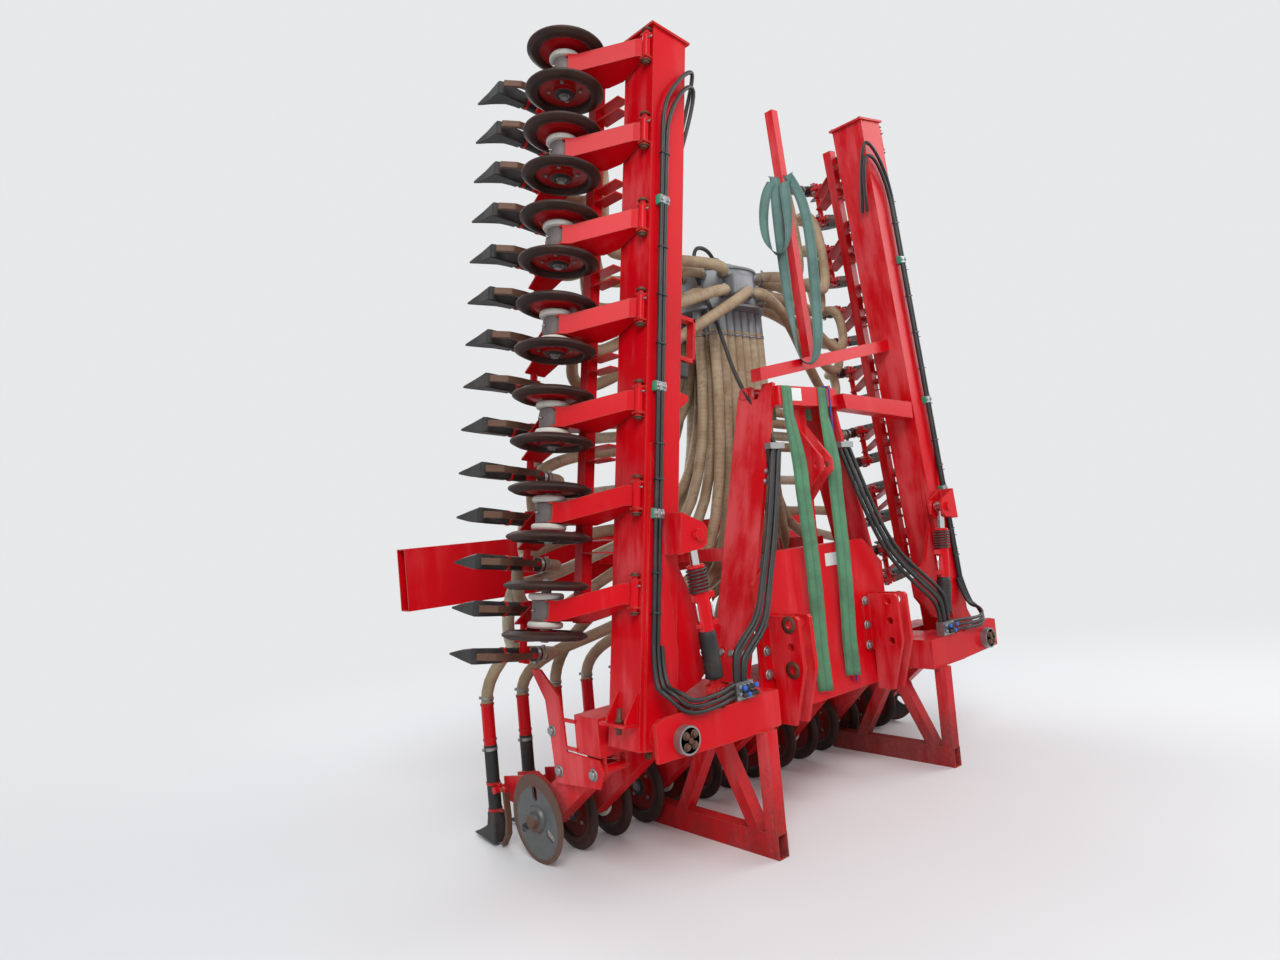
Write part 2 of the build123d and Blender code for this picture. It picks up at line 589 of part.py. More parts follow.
def wing_hose_points(m, side):
    """From the tube of a wing's row m, counted from the tip, to the distributor."""
    s = TOP_ARM_S - CRANK - ROW_PITCH * m
    tube_y, tube_h = WING_SPEC["tube_y"], PIN_H + WING_SPEC["tube_top"]
    if m <= 6:
        k = 6 - m
        y, h = UPPER_LANES[k]
        cross = UPPER_CROSSING[k]
        angle, z = UPPER_OUTLETS[k]
        ux, uy = side * cos(radians(angle)), sin(radians(angle))
        return [wing_point(side, *p) for p in (
            (s, tube_y, tube_h), (s, tube_y, h), (s, y, h), (cross, y, h), (cross, y, h + 150))] + [
            (ux * reach, DIST_Y + uy * reach, z) for reach in (DIST_R + 150, DIST_R + STUB_OUT)]
    k = m - 7
    y, h = LOWER_LANES[k]
    cross = LOWER_CROSSING[k]
    over = -40
    run = [(s, tube_y, tube_h), (s, tube_y, over), (s, y, over)]
    if h < over - 10:
        run.append((s, y, h))
    run.append((cross, y, h))
    if k == 6:
        run.append((cross, y, h + 130))
    points = [wing_point(side, *p) for p in run]
    low = points[-1][2]
    if k == 6:
        points += [(side * 640, y, 1270), (side * LOWER_OUTLET_X[k], y, 1420)]
    else:
        points.append((side * LOWER_OUTLET_X[k], y, low + (45 if k == 0 else 30)))
    return points + [(side * LOWER_OUTLET_X[k], y, STUB_Z)]


def wing_line_points(n):
    """A hydraulic hose up the front of a wing's beam, over its inner edge near the tip and down."""
    y = BEAM_FRONT - 12 - LINE_R
    h = LINE_H + LINE_PITCH * n
    return [(330, y, h), (2540 - 60 * n, y, h), (2720 - 60 * n, y - 12, 66), (2730 - 80 * n, y + 16, 135 + 12 * n),
            (2380, 50 - 30 * n, 100)]


def line_clamps():
    """The clamps that hold both hydraulic hoses on the front of a wing's beam."""
    solids = []
    for s, back in zip(CLAMP_S, (BEAM_FRONT - 10, BEAM_FRONT, BEAM_FRONT)):
        clamp = block(s - 20, s + 20, BEAM_FRONT - 34, back - SEAT_GAP, LINE_H - 15, LINE_H + LINE_PITCH + 15)
        for n in range(2):
            (s0, y, h), (s1, _, _) = wing_line_points(n)[:2]
            clamp -= bar((s0, y, h), (s1, y, h), LINE_R + SEAT_GAP)
        solids.append(clamp)
    return solids


def hinge_hose_points(n, side):
    """A hydraulic hose from a wing's line, out past the hinge and back to the frame's couplings."""
    y = BEAM_FRONT - 12 - LINE_R
    h, z = LINE_H + LINE_PITCH * n, LINE_PITCH * n
    return [wing_point(side, 328.5, y, h), wing_point(side, 180, y - 20, h - 8),
            (side * (1180 - z), -112 - 20 * n, 740), (side * (1130 - 14 * n), -176 - n, 655 + z),
            (side * 960, -176 - n, 659 + z), (side * 890, -152, 662 + z), (side * 841, -139, 662 + z)]


def frame_hose_points():
    """The hydraulic hoses held on the headstock and the frame, each with its radius."""
    runs = []
    for n in range(4):
        x, y = 21 * n, 8 * (n % 2)
        up = 16 * n
        runs.append([(-232 - x, 18 - y, 1640), (-330 - x, -10 - y, 1320), (-455 - x, -45 - y, 1060 + up / 2),
                     (-560 - x, -90 - y, 890 + up), (-700 - x, -120 - y, 820 + up), (-760 - x, -125 - y, 766 + up),
                     (-760 - x, -125 - y, COUPLING_Z)])
    for n in range(4):
        x, y = 22 * n, 10 * (n % 2)
        up = 14 * n
        runs.append([(232 + x, 18 - y, 1640), (300 + x, -40 - y, 1330), (420 + x, -70 - y, 1090 + up / 2),
                     (600 + x, -95 - y, 930 + up), (715 + x, -118 - y, 836 + up), (755 + x, -122 - y, 772 + up),
                     (755 + x, -122 - y, COUPLING_Z)])
    return runs


def hose_blocks():
    """The coupling blocks on the side boxes and the clips on the headstock that hold those hoses."""
    low = REAR_BEAM_Z + REAR_BEAM + FLOOR_T + SEAT_GAP
    solids = []
    for x0, x1 in ((-838, -742), (737, 838)):
        solids.append(block(x0, x1, -150, -108, low, COUPLING_Z - SEAT_GAP))
    for x0, x1 in ((-318, -218), (218, 318)):
        solids.append(block(x0, x1, -4, MAST_FRONT_Y - SEAT_GAP, 1644, 1672))
    return solids


def strap(points, width, thickness):
    """A flat strap through points, its width along X; each bend is filled round."""
    pts = [Vector(*p) for p in points]
    solid = Part()
    for p, q in zip(pts, pts[1:]):
        run = (q - p).normalized()
        across = (Vector(1, 0, 0) - run * run.X).normalized()
        solid += extrude(Plane(origin=p, x_dir=across, z_dir=run) * Rectangle(width, thickness), amount=(q - p).length)
    for p in pts[1:-1]:
        solid += bar((p.X - width / 2, p.Y, p.Z), (p.X + width / 2, p.Y, p.Z), thickness / 2)
    return solid


def sling_points(x_top, x_low, low):
    """One sling from behind the headstock's top box, over it and straight down in front of the panel."""
    lift = SLING_T / 2 + SEAT_GAP
    y0, y1, top = -lift, 100 + lift, HEAD_BOX_Z[1] + lift
    return [(x_top, y1, top - 150), (x_top, y1, top), (x_top, y0, top), (x_low, y0, low)]


def rope_points():
    """The thin rope over the top box, hanging straight in front of the panel."""
    top = HEAD_BOX_Z[1] + ROPE_R + 2
    return [(150, 60, top), (150, 28, top + 1), (150, -10, top), (149, -12, top - 50), (142, -13, 520)]


def wing_beam():
    """The wing's square beam with its cap, hinge tube, lever plate, pin ears and cylinder bracket."""
    b0, b1 = BEAM_BOTTOM, BEAM_BOTTOM + BEAM_W
    y0, y1 = BEAM_FRONT, BEAM_FRONT + BEAM_W
    end = TOP_ARM_S + CAP_ABOVE_ARM
    solid = box_tube(BEAM_ROOT, end, y0, y1, b0, b1, BEAM_WALL, "x")
    solid += block(end, end + CAP_T, y0 - 10, y1 + 10, b0 - CAP_OVER, b1 + CAP_OVER)
    solid += bar((0, HUB_FRONT, 0), (0, HUB_REAR, 0), HUB_R)
    solid -= bar((0, HUB_FRONT - 5, 0), (0, HUB_REAR + 20, 0), HINGE_PIN_R + SEAT_GAP)
    doubler = plate_y([(BEAM_ROOT, b0 + 20), (1100, b0 + 20), (300, b1), (BEAM_ROOT, b1)], y0 - 10, 10)
    doubler -= bar((0, -200, 0), (0, 200, 0), HUB_R - 1)
    solid += doubler
    lever = plate_y([(110, b1), (180, b1 + 150), (320, b1 + 270), (400, b1 + 270), (480, b1 + 120),
                     (640, b1 + 20), (980, b1)], -5, 20)
    lever -= bar((300, -50, b1 + 170), (300, 50, b1 + 170), 22)
    solid += lever
    for i in range(WING_ARMS):
        s = TOP_ARM_S - i * ARM_PITCH
        solid += arm_ears(s, 0, PIN_H, b0)
    ex, ez = CYL_EYE[0] - HINGE_X, CYL_EYE[1] - HINGE_Z
    f = radians(FOLD_ANGLE)
    es, eh = ex * cos(f) + ez * sin(f), -ex * sin(f) + ez * cos(f)
    for yy in (CYL_Y - EYE_W / 2 - 6 - 14, CYL_Y + EYE_W / 2 + 6):
        ear = plate_y([(es - 80, eh - 90), (es + 80, eh - 90), (es + 50, eh + 30), (es + 30, eh + 52),
                       (es - 30, eh + 52), (es - 50, eh + 30)], yy, 14)
        solid += ear
    solid += bar((es, CYL_Y - EYE_W / 2 - 34, eh), (es, CYL_Y - EYE_W / 2 - 18, eh), CYL_PIN_R + 8)
    solid += block(es - 80, es + 80, CYL_Y - EYE_W / 2 - 20, y0 + 1, eh - 90, eh - 76)
    return solid


def wing_rail():
    """The square rail behind the beam, on pairs of small plates between the arms."""
    h = PIN_H
    s0, s1 = TOP_ARM_S - (WING_ARMS - 1) * ARM_PITCH - 120, TOP_ARM_S + 60
    solid = box_tube(s0, s1, RAIL_Y, RAIL_Y + RAIL_W, h - RAIL_W / 2, h + RAIL_W / 2, 5, "x")
    y1 = BEAM_FRONT + BEAM_W
    for i in range(WING_ARMS - 1):
        s = TOP_ARM_S - (i + 0.5) * ARM_PITCH
        for ds in (-30, 24):
            solid += plate_z([(s + ds, y1 + SEAT_GAP), (s + ds + 6, y1 + SEAT_GAP), (s + ds + 6, RAIL_Y),
                              (s + ds, RAIL_Y)], h - 20, 60)
    return solid


def wing_arm_set():
    """All arms of one wing, each held by its pin in the beam's ears."""
    arm = row_arm(WING_SPEC)
    solids = []
    for i in range(WING_ARMS):
        at = Pos(TOP_ARM_S - i * ARM_PITCH, 0, PIN_H)
        solids.append(at * arm)
    return solids


def wing_shoes(side):
    """All slurry tubes of one wing, two on each arm."""
    one = shoe(0, WING_SPEC)
    return [wing_place(side, TOP_ARM_S - i * ARM_PITCH + s, 0, PIN_H) * one
            for i in range(WING_ARMS) for s in WING_SPEC["shoes"]]


def cylinder():
    """The fold cylinder of the left side at rest: (barrel, rod)."""
    foot = Vector(CYL_FOOT[0], CYL_Y, CYL_FOOT[1])
    eye = Vector(CYL_EYE[0], CYL_Y, CYL_EYE[1])
    d = (eye - foot).normalized()

    def at(t):
        p = foot + d * t
        return (p.X, p.Y, p.Z)

    closed = (eye - foot).length
    barrel = bar(at(20), at(60), 22) + bar(at(52), at(BARREL_L), BARREL_R)
    barrel += bar((foot.X, CYL_Y - EYE_W / 2, foot.Z), (foot.X, CYL_Y + EYE_W / 2, foot.Z), EYE_R)
    barrel -= bar(at(80), at(BARREL_L + 5), ROD_R + RUN_GAP)
    barrel -= bar((foot.X, CYL_Y - 50, foot.Z), (foot.X, CYL_Y + 50, foot.Z), CYL_PIN_R + SEAT_GAP)
    rod = bar(at(84), at(closed - EYE_R + 4), ROD_R)
    rod += bar((eye.X, CYL_Y - EYE_W / 2, eye.Z), (eye.X, CYL_Y + EYE_W / 2, eye.Z), EYE_R)
    return barrel, rod


def hose_guide():
    """The arm and pole on the left wing that carry the hoses between the wings."""
    drop = 0.1925
    x0, x1 = 824.9, -273.0
    z0 = 2205.0
    z1 = z0 - drop * (x0 - x1)
    lean = 0.147 * 30
    arm = plate_y([(x0 - lean, z0 + 30), (x0 + lean, z0 - 30), (x1, z1 - 30), (x1, z1 + 30)], 50, 60)
    pole = plate_y([(125, 2062), (170, 2070), (52, 3316), (8, 3312)], 58, 45)
    return arm + pole


save("main_frame", *main_frame())
save("front_panel", front_panel())
save("lower_link_brackets", *link_brackets())
save("headstock", headstock())
save("top_link_bracket", *top_link_bracket())
save("parking_stands", stand(-1), stand(1))
save("rear_board", rear_board())
save("distributor", distributor())
save("distributor_mast", distributor_mast())

hinge_pins = []
cylinder_pins = []
for side in (-1, 1):
    pin = bar((HINGE_X, FORK_FRONT_Y - 22, HINGE_Z), (HINGE_X, REAR_BEAM_Y - 1, HINGE_Z), HINGE_PIN_R)
    pin += bar((HINGE_X, FORK_FRONT_Y - 34, HINGE_Z), (HINGE_X, FORK_FRONT_Y - SEAT_GAP, HINGE_Z), HINGE_PIN_R + 18)
    hinge_pins.append(to_side(pin, side))
    foot_x, foot_z = CYL_FOOT
    reach = EYE_W / 2 + 20
    foot_pin = bar((foot_x, CYL_Y - reach, foot_z), (foot_x, CYL_Y + reach, foot_z), CYL_PIN_R)
    hinge_pins.append(to_side(foot_pin, side))
save("hinge_pins", *hinge_pins)

rest_arm = plate_y([(233.1, 1906), (253.6, 1832), (856, 1791), (856, 1877)], -30, 80)
save("wing_rest_arm", rest_arm)

# Arms, tubes and wheels of the centre section; the left half mirrors the right half
centre_arms, centre_shoes = [], []
for n, (x, kind) in enumerate(centre_axles(), 1):
    side = 1 if x >= 0 else -1
    spec = {"pair": PAIR_SPEC, "single": SINGLE_SPEC, "end": END_SPEC}[kind]
    at = Pos(side * pivot_x(x, kind), CENTRE_PIVOT_Y, CENTRE_PIVOT_Z)
    spec = dict(spec, crank=-spec["crank"], shoe_crank=-spec["shoe_crank"])
    if kind == "pair":
        spec["shoes"] = (CRANK - SHOE_SHIFT, CRANK + SHOE_SHIFT)
    centre_arms.append(to_side(at * row_arm(spec), side))
    for s in spec["shoes"]:
        here = Pos(side * (side * pivot_x(x, kind) + s), CENTRE_PIVOT_Y, CENTRE_PIVOT_Z)
        centre_shoes.append(here * shoe(0, spec))
    wheels = {"pair": wheel_pair, "single": wheel_single, "end": end_disc}[kind]()
    axle_z = END_DISC_R if kind == "end" else WHEEL_R
    wheels = to_side(wheels, side)
    name = "centre_wheels_%d" % n
    if kind == "end":
        name = ("right" if side < 0 else "left") + "_end_disc"
    save(name, Pos(x, CENTRE_PIVOT_Y + CENTRE_HUB[0], axle_z) * wheels)
save("centre_arms", *centre_arms)
save("centre_shoes", *centre_shoes)

for side, label in ((-1, "right"), (1, "left")):
    save(label + "_wing_beam", to_wing(wing_beam(), side))
    save(label + "_wing_arms", *[to_wing(s, side) for s in wing_arm_set()])
    save(label + "_wing_rail", to_wing(wing_rail(), side))
    save(label + "_wing_shoes", *wing_shoes(side))
    pair = wheel_pair()
    for i in range(WING_ARMS):
        s = TOP_ARM_S - CRANK - i * ARM_PITCH
        h = PIN_H - WING_HUB[1]
        save("%s_wing_wheels_%d" % (label, i + 1), wing_place(side, s, WING_HUB[0], h) * pair)
    barrel, rod = cylinder()
    save(label + "_cylinder_barrel", to_side(barrel, side))
    save(label + "_cylinder_rod", to_side(rod, side))

save("hose_guide", hose_guide())

# Hoses: slurry hoses to every row, hydraulic hoses along the wings and over the frame
save("centre_hoses", *[hose(centre_hose_points(k), HOSE_R) for k in range(-CENTRE_ROWS, CENTRE_ROWS + 1)])
for side, label in ((-1, "right"), (1, "left")):
    runs = [hose(wing_hose_points(m, side), HOSE_R) for m in range(2 * WING_ARMS)]
    save(label + "_wing_hoses", *runs)
    lines = [hose([wing_point(side, *p) for p in wing_line_points(n)], LINE_R) for n in range(2)]
    save(label + "_wing_lines", *lines, *[to_wing(clamp, side) for clamp in line_clamps()])
    save(label + "_hinge_hoses", *[hose(hinge_hose_points(n, side), LINE_R) for n in range(3)])
save("frame_hoses", *[hose(points, FRAME_HOSE_R) for points in frame_hose_points()])
save("hose_blocks", *hose_blocks())

# Loose slings and the rope that hang from the headstock
slings = [strap(sling_points(*ends), SLING_W, SLING_T) for ends in ((-165, -135, 530), (105, 88, 560))]
save("lifting_slings", *slings)
save("rope", hose(rope_points(), ROPE_R))
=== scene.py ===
"""Dresses the folded slurry injector: finishes, wheels, hoses, straps, bolts and the studio."""

import math

import bmesh
import bpy
from bpy.props import FloatProperty, FloatVectorProperty, IntProperty, PointerProperty
from mathutils import Matrix, Vector


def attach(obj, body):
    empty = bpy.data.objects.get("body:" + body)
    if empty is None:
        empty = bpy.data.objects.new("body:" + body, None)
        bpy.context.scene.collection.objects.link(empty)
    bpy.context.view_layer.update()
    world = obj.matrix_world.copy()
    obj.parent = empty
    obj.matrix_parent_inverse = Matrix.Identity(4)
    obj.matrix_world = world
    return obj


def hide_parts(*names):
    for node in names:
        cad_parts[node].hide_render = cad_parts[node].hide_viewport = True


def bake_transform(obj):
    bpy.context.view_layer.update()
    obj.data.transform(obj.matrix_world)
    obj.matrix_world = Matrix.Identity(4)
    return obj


bl_info = {
    "name": "Folded Slurry Injector",
    "version": (1, 0, 0),
    "blender": (4, 5, 0),
    "location": "View3D > Sidebar > Injector",
    "description": "Builds the finish and the loose pieces of a folded slurry injector",
    "category": "Object",
}

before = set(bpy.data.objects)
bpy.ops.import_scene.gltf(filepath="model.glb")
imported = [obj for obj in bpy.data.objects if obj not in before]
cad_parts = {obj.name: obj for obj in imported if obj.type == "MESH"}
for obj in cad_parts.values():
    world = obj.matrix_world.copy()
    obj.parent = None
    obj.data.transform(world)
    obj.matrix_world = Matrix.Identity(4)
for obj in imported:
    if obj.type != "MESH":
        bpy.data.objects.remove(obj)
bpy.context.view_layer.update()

# Places on the machine, in millimetres from the plane of the wings' arm pins
ORIGIN_Y = 571.0
ROW_PITCH = 187.5
HINGE = (1144.0, 573.0)
FOLD = math.radians(98.37)
TOP_ARM_S = 20.5 * ROW_PITCH + 70.0 - HINGE[0]
CRANK = 70.0
PIN_H = -120.0
SIDES = ((-1, "right"), (1, "left"))

# Ways of the slurry hoses, as in the solids: (y, h) lanes on the wings, where they cross over, outlets
STUB_Z = 2290.0
DIST_Y = 560.0
DIST_R = 235.0
UPPER_LANES = ((530, -60), (472, -60), (414, -60), (530, -2), (472, -2), (414, -2), (530, 56))
UPPER_CROSSING = (1440, 1595, 1710, 1825, 1940, 2055, 2170)
UPPER_OUTLETS = ((-83, 2470), (-33, 2470), (-58, 2470), (-8, 2470), (-33, 2570), (-58, 2570), (-8, 2570))
LOWER_LANES = ((660, -44), (660, -102), (718, -102), (660, -160), (718, -160), (660, -218), (718, -218))
LOWER_CROSSING = (1330, 1263, 1201, 1118, 930, 735, 560)
LOWER_OUTLET_X = (205, 150, 165, 95, 108, 40, 50)
LINE_Y = -46.0
LINE_H = -60.0
LINE_PITCH = 22.0

# Rows, arms, axles and tubes of the centre and of each wing
WING_ARMS = 7
WING_ROWS = 14
CENTRE_ROWS = range(-7, 8)
CENTRE_AXLES = (-5.5, -3.5, -1.5, 0, 1.5, 3.5, 5.5)
CENTRE_AXLE = (600, 165)
WING_AXLE = (286, PIN_H - 203)
CENTRE_TUBE_Y = 935
WING_TUBE_Y = 586
TUBE_R = 0.0295
SHAFT_R = 0.0195

# Stands an outline of (x, z) up, so that it is thickened to the front
UPRIGHT = Matrix(((1, 0, 0, 0), (0, 0, -1, 0), (0, 1, 0, 0), (0, 0, 0, 1)))
BACKDROP = (0.80, 0.81, 0.82, 1)


def at(x, y, z):
    """A point given in the machine's millimetres, in the frame's metres."""
    return Vector((x / 1000, (y - ORIGIN_Y) / 1000, z / 1000))


def wing_at(side, s, y, h):
    """A point of a wing: s along the beam from the hinge, y to the rear, h towards the middle."""
    x = HINGE[0] + s * math.cos(FOLD) - h * math.sin(FOLD)
    return at(side * x, y, HINGE[1] + s * math.sin(FOLD) + h * math.cos(FOLD))


def wing_matrix(side, s, y, h):
    """Where a piece modelled along its own X goes on a wing, with X along the beam."""
    along = wing_at(side, 1000, 0, 0) - wing_at(side, 0, 0, 0)
    out = wing_at(side, 0, 0, 1000) - wing_at(side, 0, 0, 0)
    turn = Matrix((along, Vector((0, 1, 0)), out)).transposed().to_4x4()
    return Matrix.Translation(wing_at(side, s, y, h)) @ turn


def shift(x, y, z):
    """A move by metres."""
    return Matrix.Translation((x, y, z))


def rotated(degrees, axis):
    """A turn about one of the axes."""
    return Matrix.Rotation(math.radians(degrees), 4, axis)


def distinct(items):
    """The items without repeats, in their order."""
    return list(dict.fromkeys(items))


class Signal:
    """One shader socket, so that masks can be written as plain sums and products."""

    def __init__(self, paint, socket):
        self.paint = paint
        self.socket = socket

    def _math(self, operation, other, swap=False):
        first, second = (other, self) if swap else (self, other)
        return self.paint.node("ShaderNodeMath", {"operation": operation}, {0: first, 1: second})

    def __add__(self, other):
        return self._math("ADD", other)

    def __radd__(self, other):
        return self._math("ADD", other, True)

    def __sub__(self, other):
        return self._math("SUBTRACT", other)

    def __rsub__(self, other):
        return self._math("SUBTRACT", other, True)

    def __mul__(self, other):
        return self._math("MULTIPLY", other)

    def __pow__(self, other):
        return self._math("POWER", other)

    def at_least(self, other):
        return self._math("MAXIMUM", other)

    def at_most(self, other):
        return self._math("MINIMUM", other)

    def step(self, low, high):
        """A soft step from 0 at low to 1 at high."""
        settings = {"interpolation_type": "SMOOTHSTEP"}
        values = {"Value": self, "From Min": low, "From Max": high}
        return self.paint.node("ShaderNodeMapRange", settings, values)


class Finish:
    """A material being made, with one way to add any node to it."""

    def __init__(self, name, roughness=0.5, metallic=0.0, **sockets):
        self.material = bpy.data.materials.new(name)
        self.material.use_nodes = True
        self.tree = self.material.node_tree
        self.shader = self.tree.nodes["Principled BSDF"]
        self.set(Roughness=roughness, Metallic=metallic, **sockets)

    def set(self, **sockets):
        for key, value in sockets.items():
            socket = self.shader.inputs[key.replace("_", " ")]
            if isinstance(value, Signal):
                self.tree.links.new(value.socket, socket)
            else:
                socket.default_value = value
        return self

    def node(self, kind, settings=None, values=None, output=0):
        made = self.tree.nodes.new(kind)
        for key, value in (settings or {}).items():
            if key == "stops":
                ramp = made.color_ramp
                while len(ramp.elements) < len(value):
                    ramp.elements.new(0.5)
                for element, (place, color) in zip(ramp.elements, value):
                    element.position = place
                    element.color = color
            else:
                setattr(made, key, value)
        for key, value in (values or {}).items():
            socket = made.inputs[key]
            if isinstance(value, Signal):
                self.tree.links.new(value.socket, socket)
            else:
                socket.default_value = value
        return Signal(self, made.outputs[output])

    def place(self):
        return self.node("ShaderNodeTexCoord", output="Object")

    def stretched(self, scale):
        return self.node("ShaderNodeMapping", {}, {"Vector": self.place(), "Scale": scale})

    def noise(self, scale, detail=3.0, roughness=0.55, source=None):
        values = {"Vector": source or self.place(), "Scale": scale, "Detail": detail, "Roughness": roughness}
        return self.node("ShaderNodeTexNoise", {}, values)

    def mix(self, factor, first, second):
        settings = {"data_type": "RGBA"}
        return self.node("ShaderNodeMix", settings, {0: factor, 6: rgba(first), 7: rgba(second)}, 2)

    def axis(self, name, source=None):
        return self.node("ShaderNodeSeparateXYZ", {}, {0: source or self.place()}, name)

    def facing(self, name):
        normal = self.node("ShaderNodeNewGeometry", output="Normal")
        return self.axis(name, normal)

    def edges(self, radius):
        """1 along sharp edges within radius, 0 on flat faces."""
        rounded = self.node("ShaderNodeBevel", {"samples": 4}, {"Radius": radius})
        flat = self.node("ShaderNodeNewGeometry", output="Normal")
        dot = self.node("ShaderNodeVectorMath", {"operation": "DOT_PRODUCT"}, {0: rounded, 1: flat}, "Value")
        return (1.0 - dot).step(0.01, 0.12)

    def bump(self, height, strength, distance):
        values = {"Height": height, "Strength": strength, "Distance": distance}
        self.set(Normal=self.node("ShaderNodeBump", {}, values))
        return self


def rgba(color):
    """A colour with its alpha, or a signal as it is."""
    if isinstance(color, Signal) or len(color) == 4:
        return color
    return (*color, 1.0)


RED = (0.62, 0.002, 0.008)
# The pinkish red below colours both weathered patches and a painted sheen on faces turned sideways.
FADED_AND_SHEEN_RED = (0.80, 0.13, 0.14)
DARK_RED = (0.22, 0.001, 0.004)
RUST = (0.115, 0.042, 0.020)
GRIME = (0.045, 0.034, 0.028)


def worn_paint(name, fresh=RED, faded_and_side_light=FADED_AND_SHEEN_RED, grime=0.5, chips=0.5):
    """Glossy red paint with sun-bleached patches, a painted sheen on faces turned sideways, dust in the lee,
    chipped edges and rust.
    """
    paint = Finish(name, 0.34, Coat_Weight=0.03, Coat_Roughness=0.18, Specular_IOR_Level=0.14)
    broad = paint.noise(2.1, 3, 0.6)
    streaks = paint.noise(9.0, 4, 0.62, paint.stretched((1.0, 1.0, 0.13)))
    fine = paint.noise(65.0, 5, 0.7)
    edge = paint.edges(0.006)
    # Faces whose normals lie along X, to either side, take more of the second colour: painted side light, a
    # painted sheen on the red paint and painted shade on the darker wheel centres.
    painted_side_light = paint.facing("X")
    painted_side_light = (painted_side_light * painted_side_light).step(0.5, 0.95)
    # The noise and streak terms are real weathering; the side term adds the painted side light to the same
    # mix.
    fade = ((broad - 0.44) * 1.6 + (streaks - 0.5) * 2.0 + painted_side_light * 0.28).step(0.12, 0.8)
    color = paint.mix(fade * (0.22 + painted_side_light * 0.42), fresh, faded_and_side_light)
    color = paint.mix((paint.noise(0.9, 2) - 0.3).step(0.1, 0.5) * 0.35, color, DARK_RED)
    dust = (paint.facing("Z") * 0.5 + streaks * 0.6).step(0.72, 1.05) * grime
    color = paint.mix(dust * 0.4, color, (0.24, 0.10, 0.085))
    low = 1.0 - paint.axis("Z").step(0.05, 0.75)
    mud = (low * 0.55 + broad * 0.5 + fine * 0.35).step(0.78, 1.1) * grime
    color = paint.mix(mud * 0.75, color, GRIME)
    worn = (edge * 0.75 + fine * 0.55).step(1.02 - 0.25 * chips, 1.12)
    spots = (paint.noise(23.0, 6, 0.72) - 0.5).step(0.17, 0.21) * chips
    bare = worn.at_least(spots)
    color = paint.mix(bare, color, paint.mix(fine, RUST, (0.30, 0.16, 0.10)))
    paint.set(Base_Color=color)
    paint.set(Roughness=(0.30 + fade * 0.14 + bare * 0.42 + mud * 0.4 + dust * 0.25).at_most(0.95))
    return paint.bump(fine * 0.35 - bare * 0.5 + streaks * 0.2, 0.22, 0.0012)


def rusty_disc(name, tint=(0.060, 0.026, 0.018), bloom=(0.105, 0.044, 0.026)):
    """Dark worn steel with brown rust and turning marks."""
    steel = Finish(name, 0.50, 0.15, Specular_IOR_Level=0.35)
    broad = steel.noise(9.0, 4, 0.6)
    fine = steel.noise(120.0, 5, 0.7)
    color = steel.mix(broad.step(0.35, 0.7), tint, bloom)
    color = steel.mix((fine - 0.45).step(0.05, 0.3) * 0.4, color, tuple(1.7 * c for c in bloom))
    color = steel.mix(steel.edges(0.004) * 0.35, color, (0.16, 0.11, 0.09))
    steel.set(Base_Color=color, Roughness=0.42 + fine * 0.25)
    return steel.bump(fine * 0.6 + broad * 0.3, 0.3, 0.0012)


def plain_metal(name, color, roughness, metallic=1.0, stain=(0.20, 0.16, 0.13), amount=0.4):
    """Bare or zinc-coated steel with dull blotches and dirt."""
    metal = Finish(name, roughness, metallic)
    blotch = metal.noise(14.0, 4, 0.65)
    fine = metal.noise(160.0, 4, 0.6)
    tone = metal.mix(blotch.step(0.3, 0.75) * 0.5, color, tuple(0.72 * c for c in color))
    dirt = (metal.noise(31.0, 5, 0.7) * 0.7 + metal.edges(0.004) * 0.3).step(0.48, 0.7) * amount
    metal.set(Base_Color=metal.mix(dirt, tone, stain))
    metal.set(Roughness=(roughness + blotch * 0.18 + dirt * 0.3).at_most(0.95))
    return metal.bump(fine * 0.5 + blotch * 0.4, 0.12, 0.0008)


def rusted_rim(name, color, centre):
    """A painted disc that is rusty round its rim and its hub."""
    disc = Finish(name, 0.48, 0.25)
    middle = at(0, *centre)
    up, back = disc.axis("Z") - middle.z, disc.axis("Y") - middle.y
    reach = (up * up + back * back) ** 0.5
    blotch = disc.noise(22.0, 5, 0.65)
    rim = (reach + blotch * 0.02).step(0.150, 0.160)
    hub = 1.0 - (reach + blotch * 0.03).step(0.050, 0.066)
    rust = rim.at_least(hub)
    color = disc.mix(blotch.step(0.35, 0.7) * 0.5, color, tuple(0.6 * c for c in color))
    disc.set(Base_Color=disc.mix(rust, color, disc.mix(blotch, (0.085, 0.036, 0.024), (0.17, 0.10, 0.075))))
    disc.set(Roughness=0.42 + rust * 0.3)
    return disc.bump(blotch * 0.5 + rust * 0.4, 0.15, 0.0010)


def moulded(name, color, roughness, dirt=0.35, stain=(0.14, 0.11, 0.085)):
    """Plastic or rubber with dust and scuffs."""
    body = Finish(name, roughness)
    broad = body.noise(11.0, 4, 0.6)
    fine = body.noise(190.0, 4, 0.6)
    dusty = (broad * 0.75 + fine * 0.35).step(0.5, 0.78) * dirt
    body.set(Base_Color=body.mix(dusty, color, stain))
    body.set(Roughness=(roughness + dusty * 0.35 + fine * 0.1).at_most(0.97))
    return body.bump(fine * 0.6 + broad * 0.25, 0.14, 0.0008)


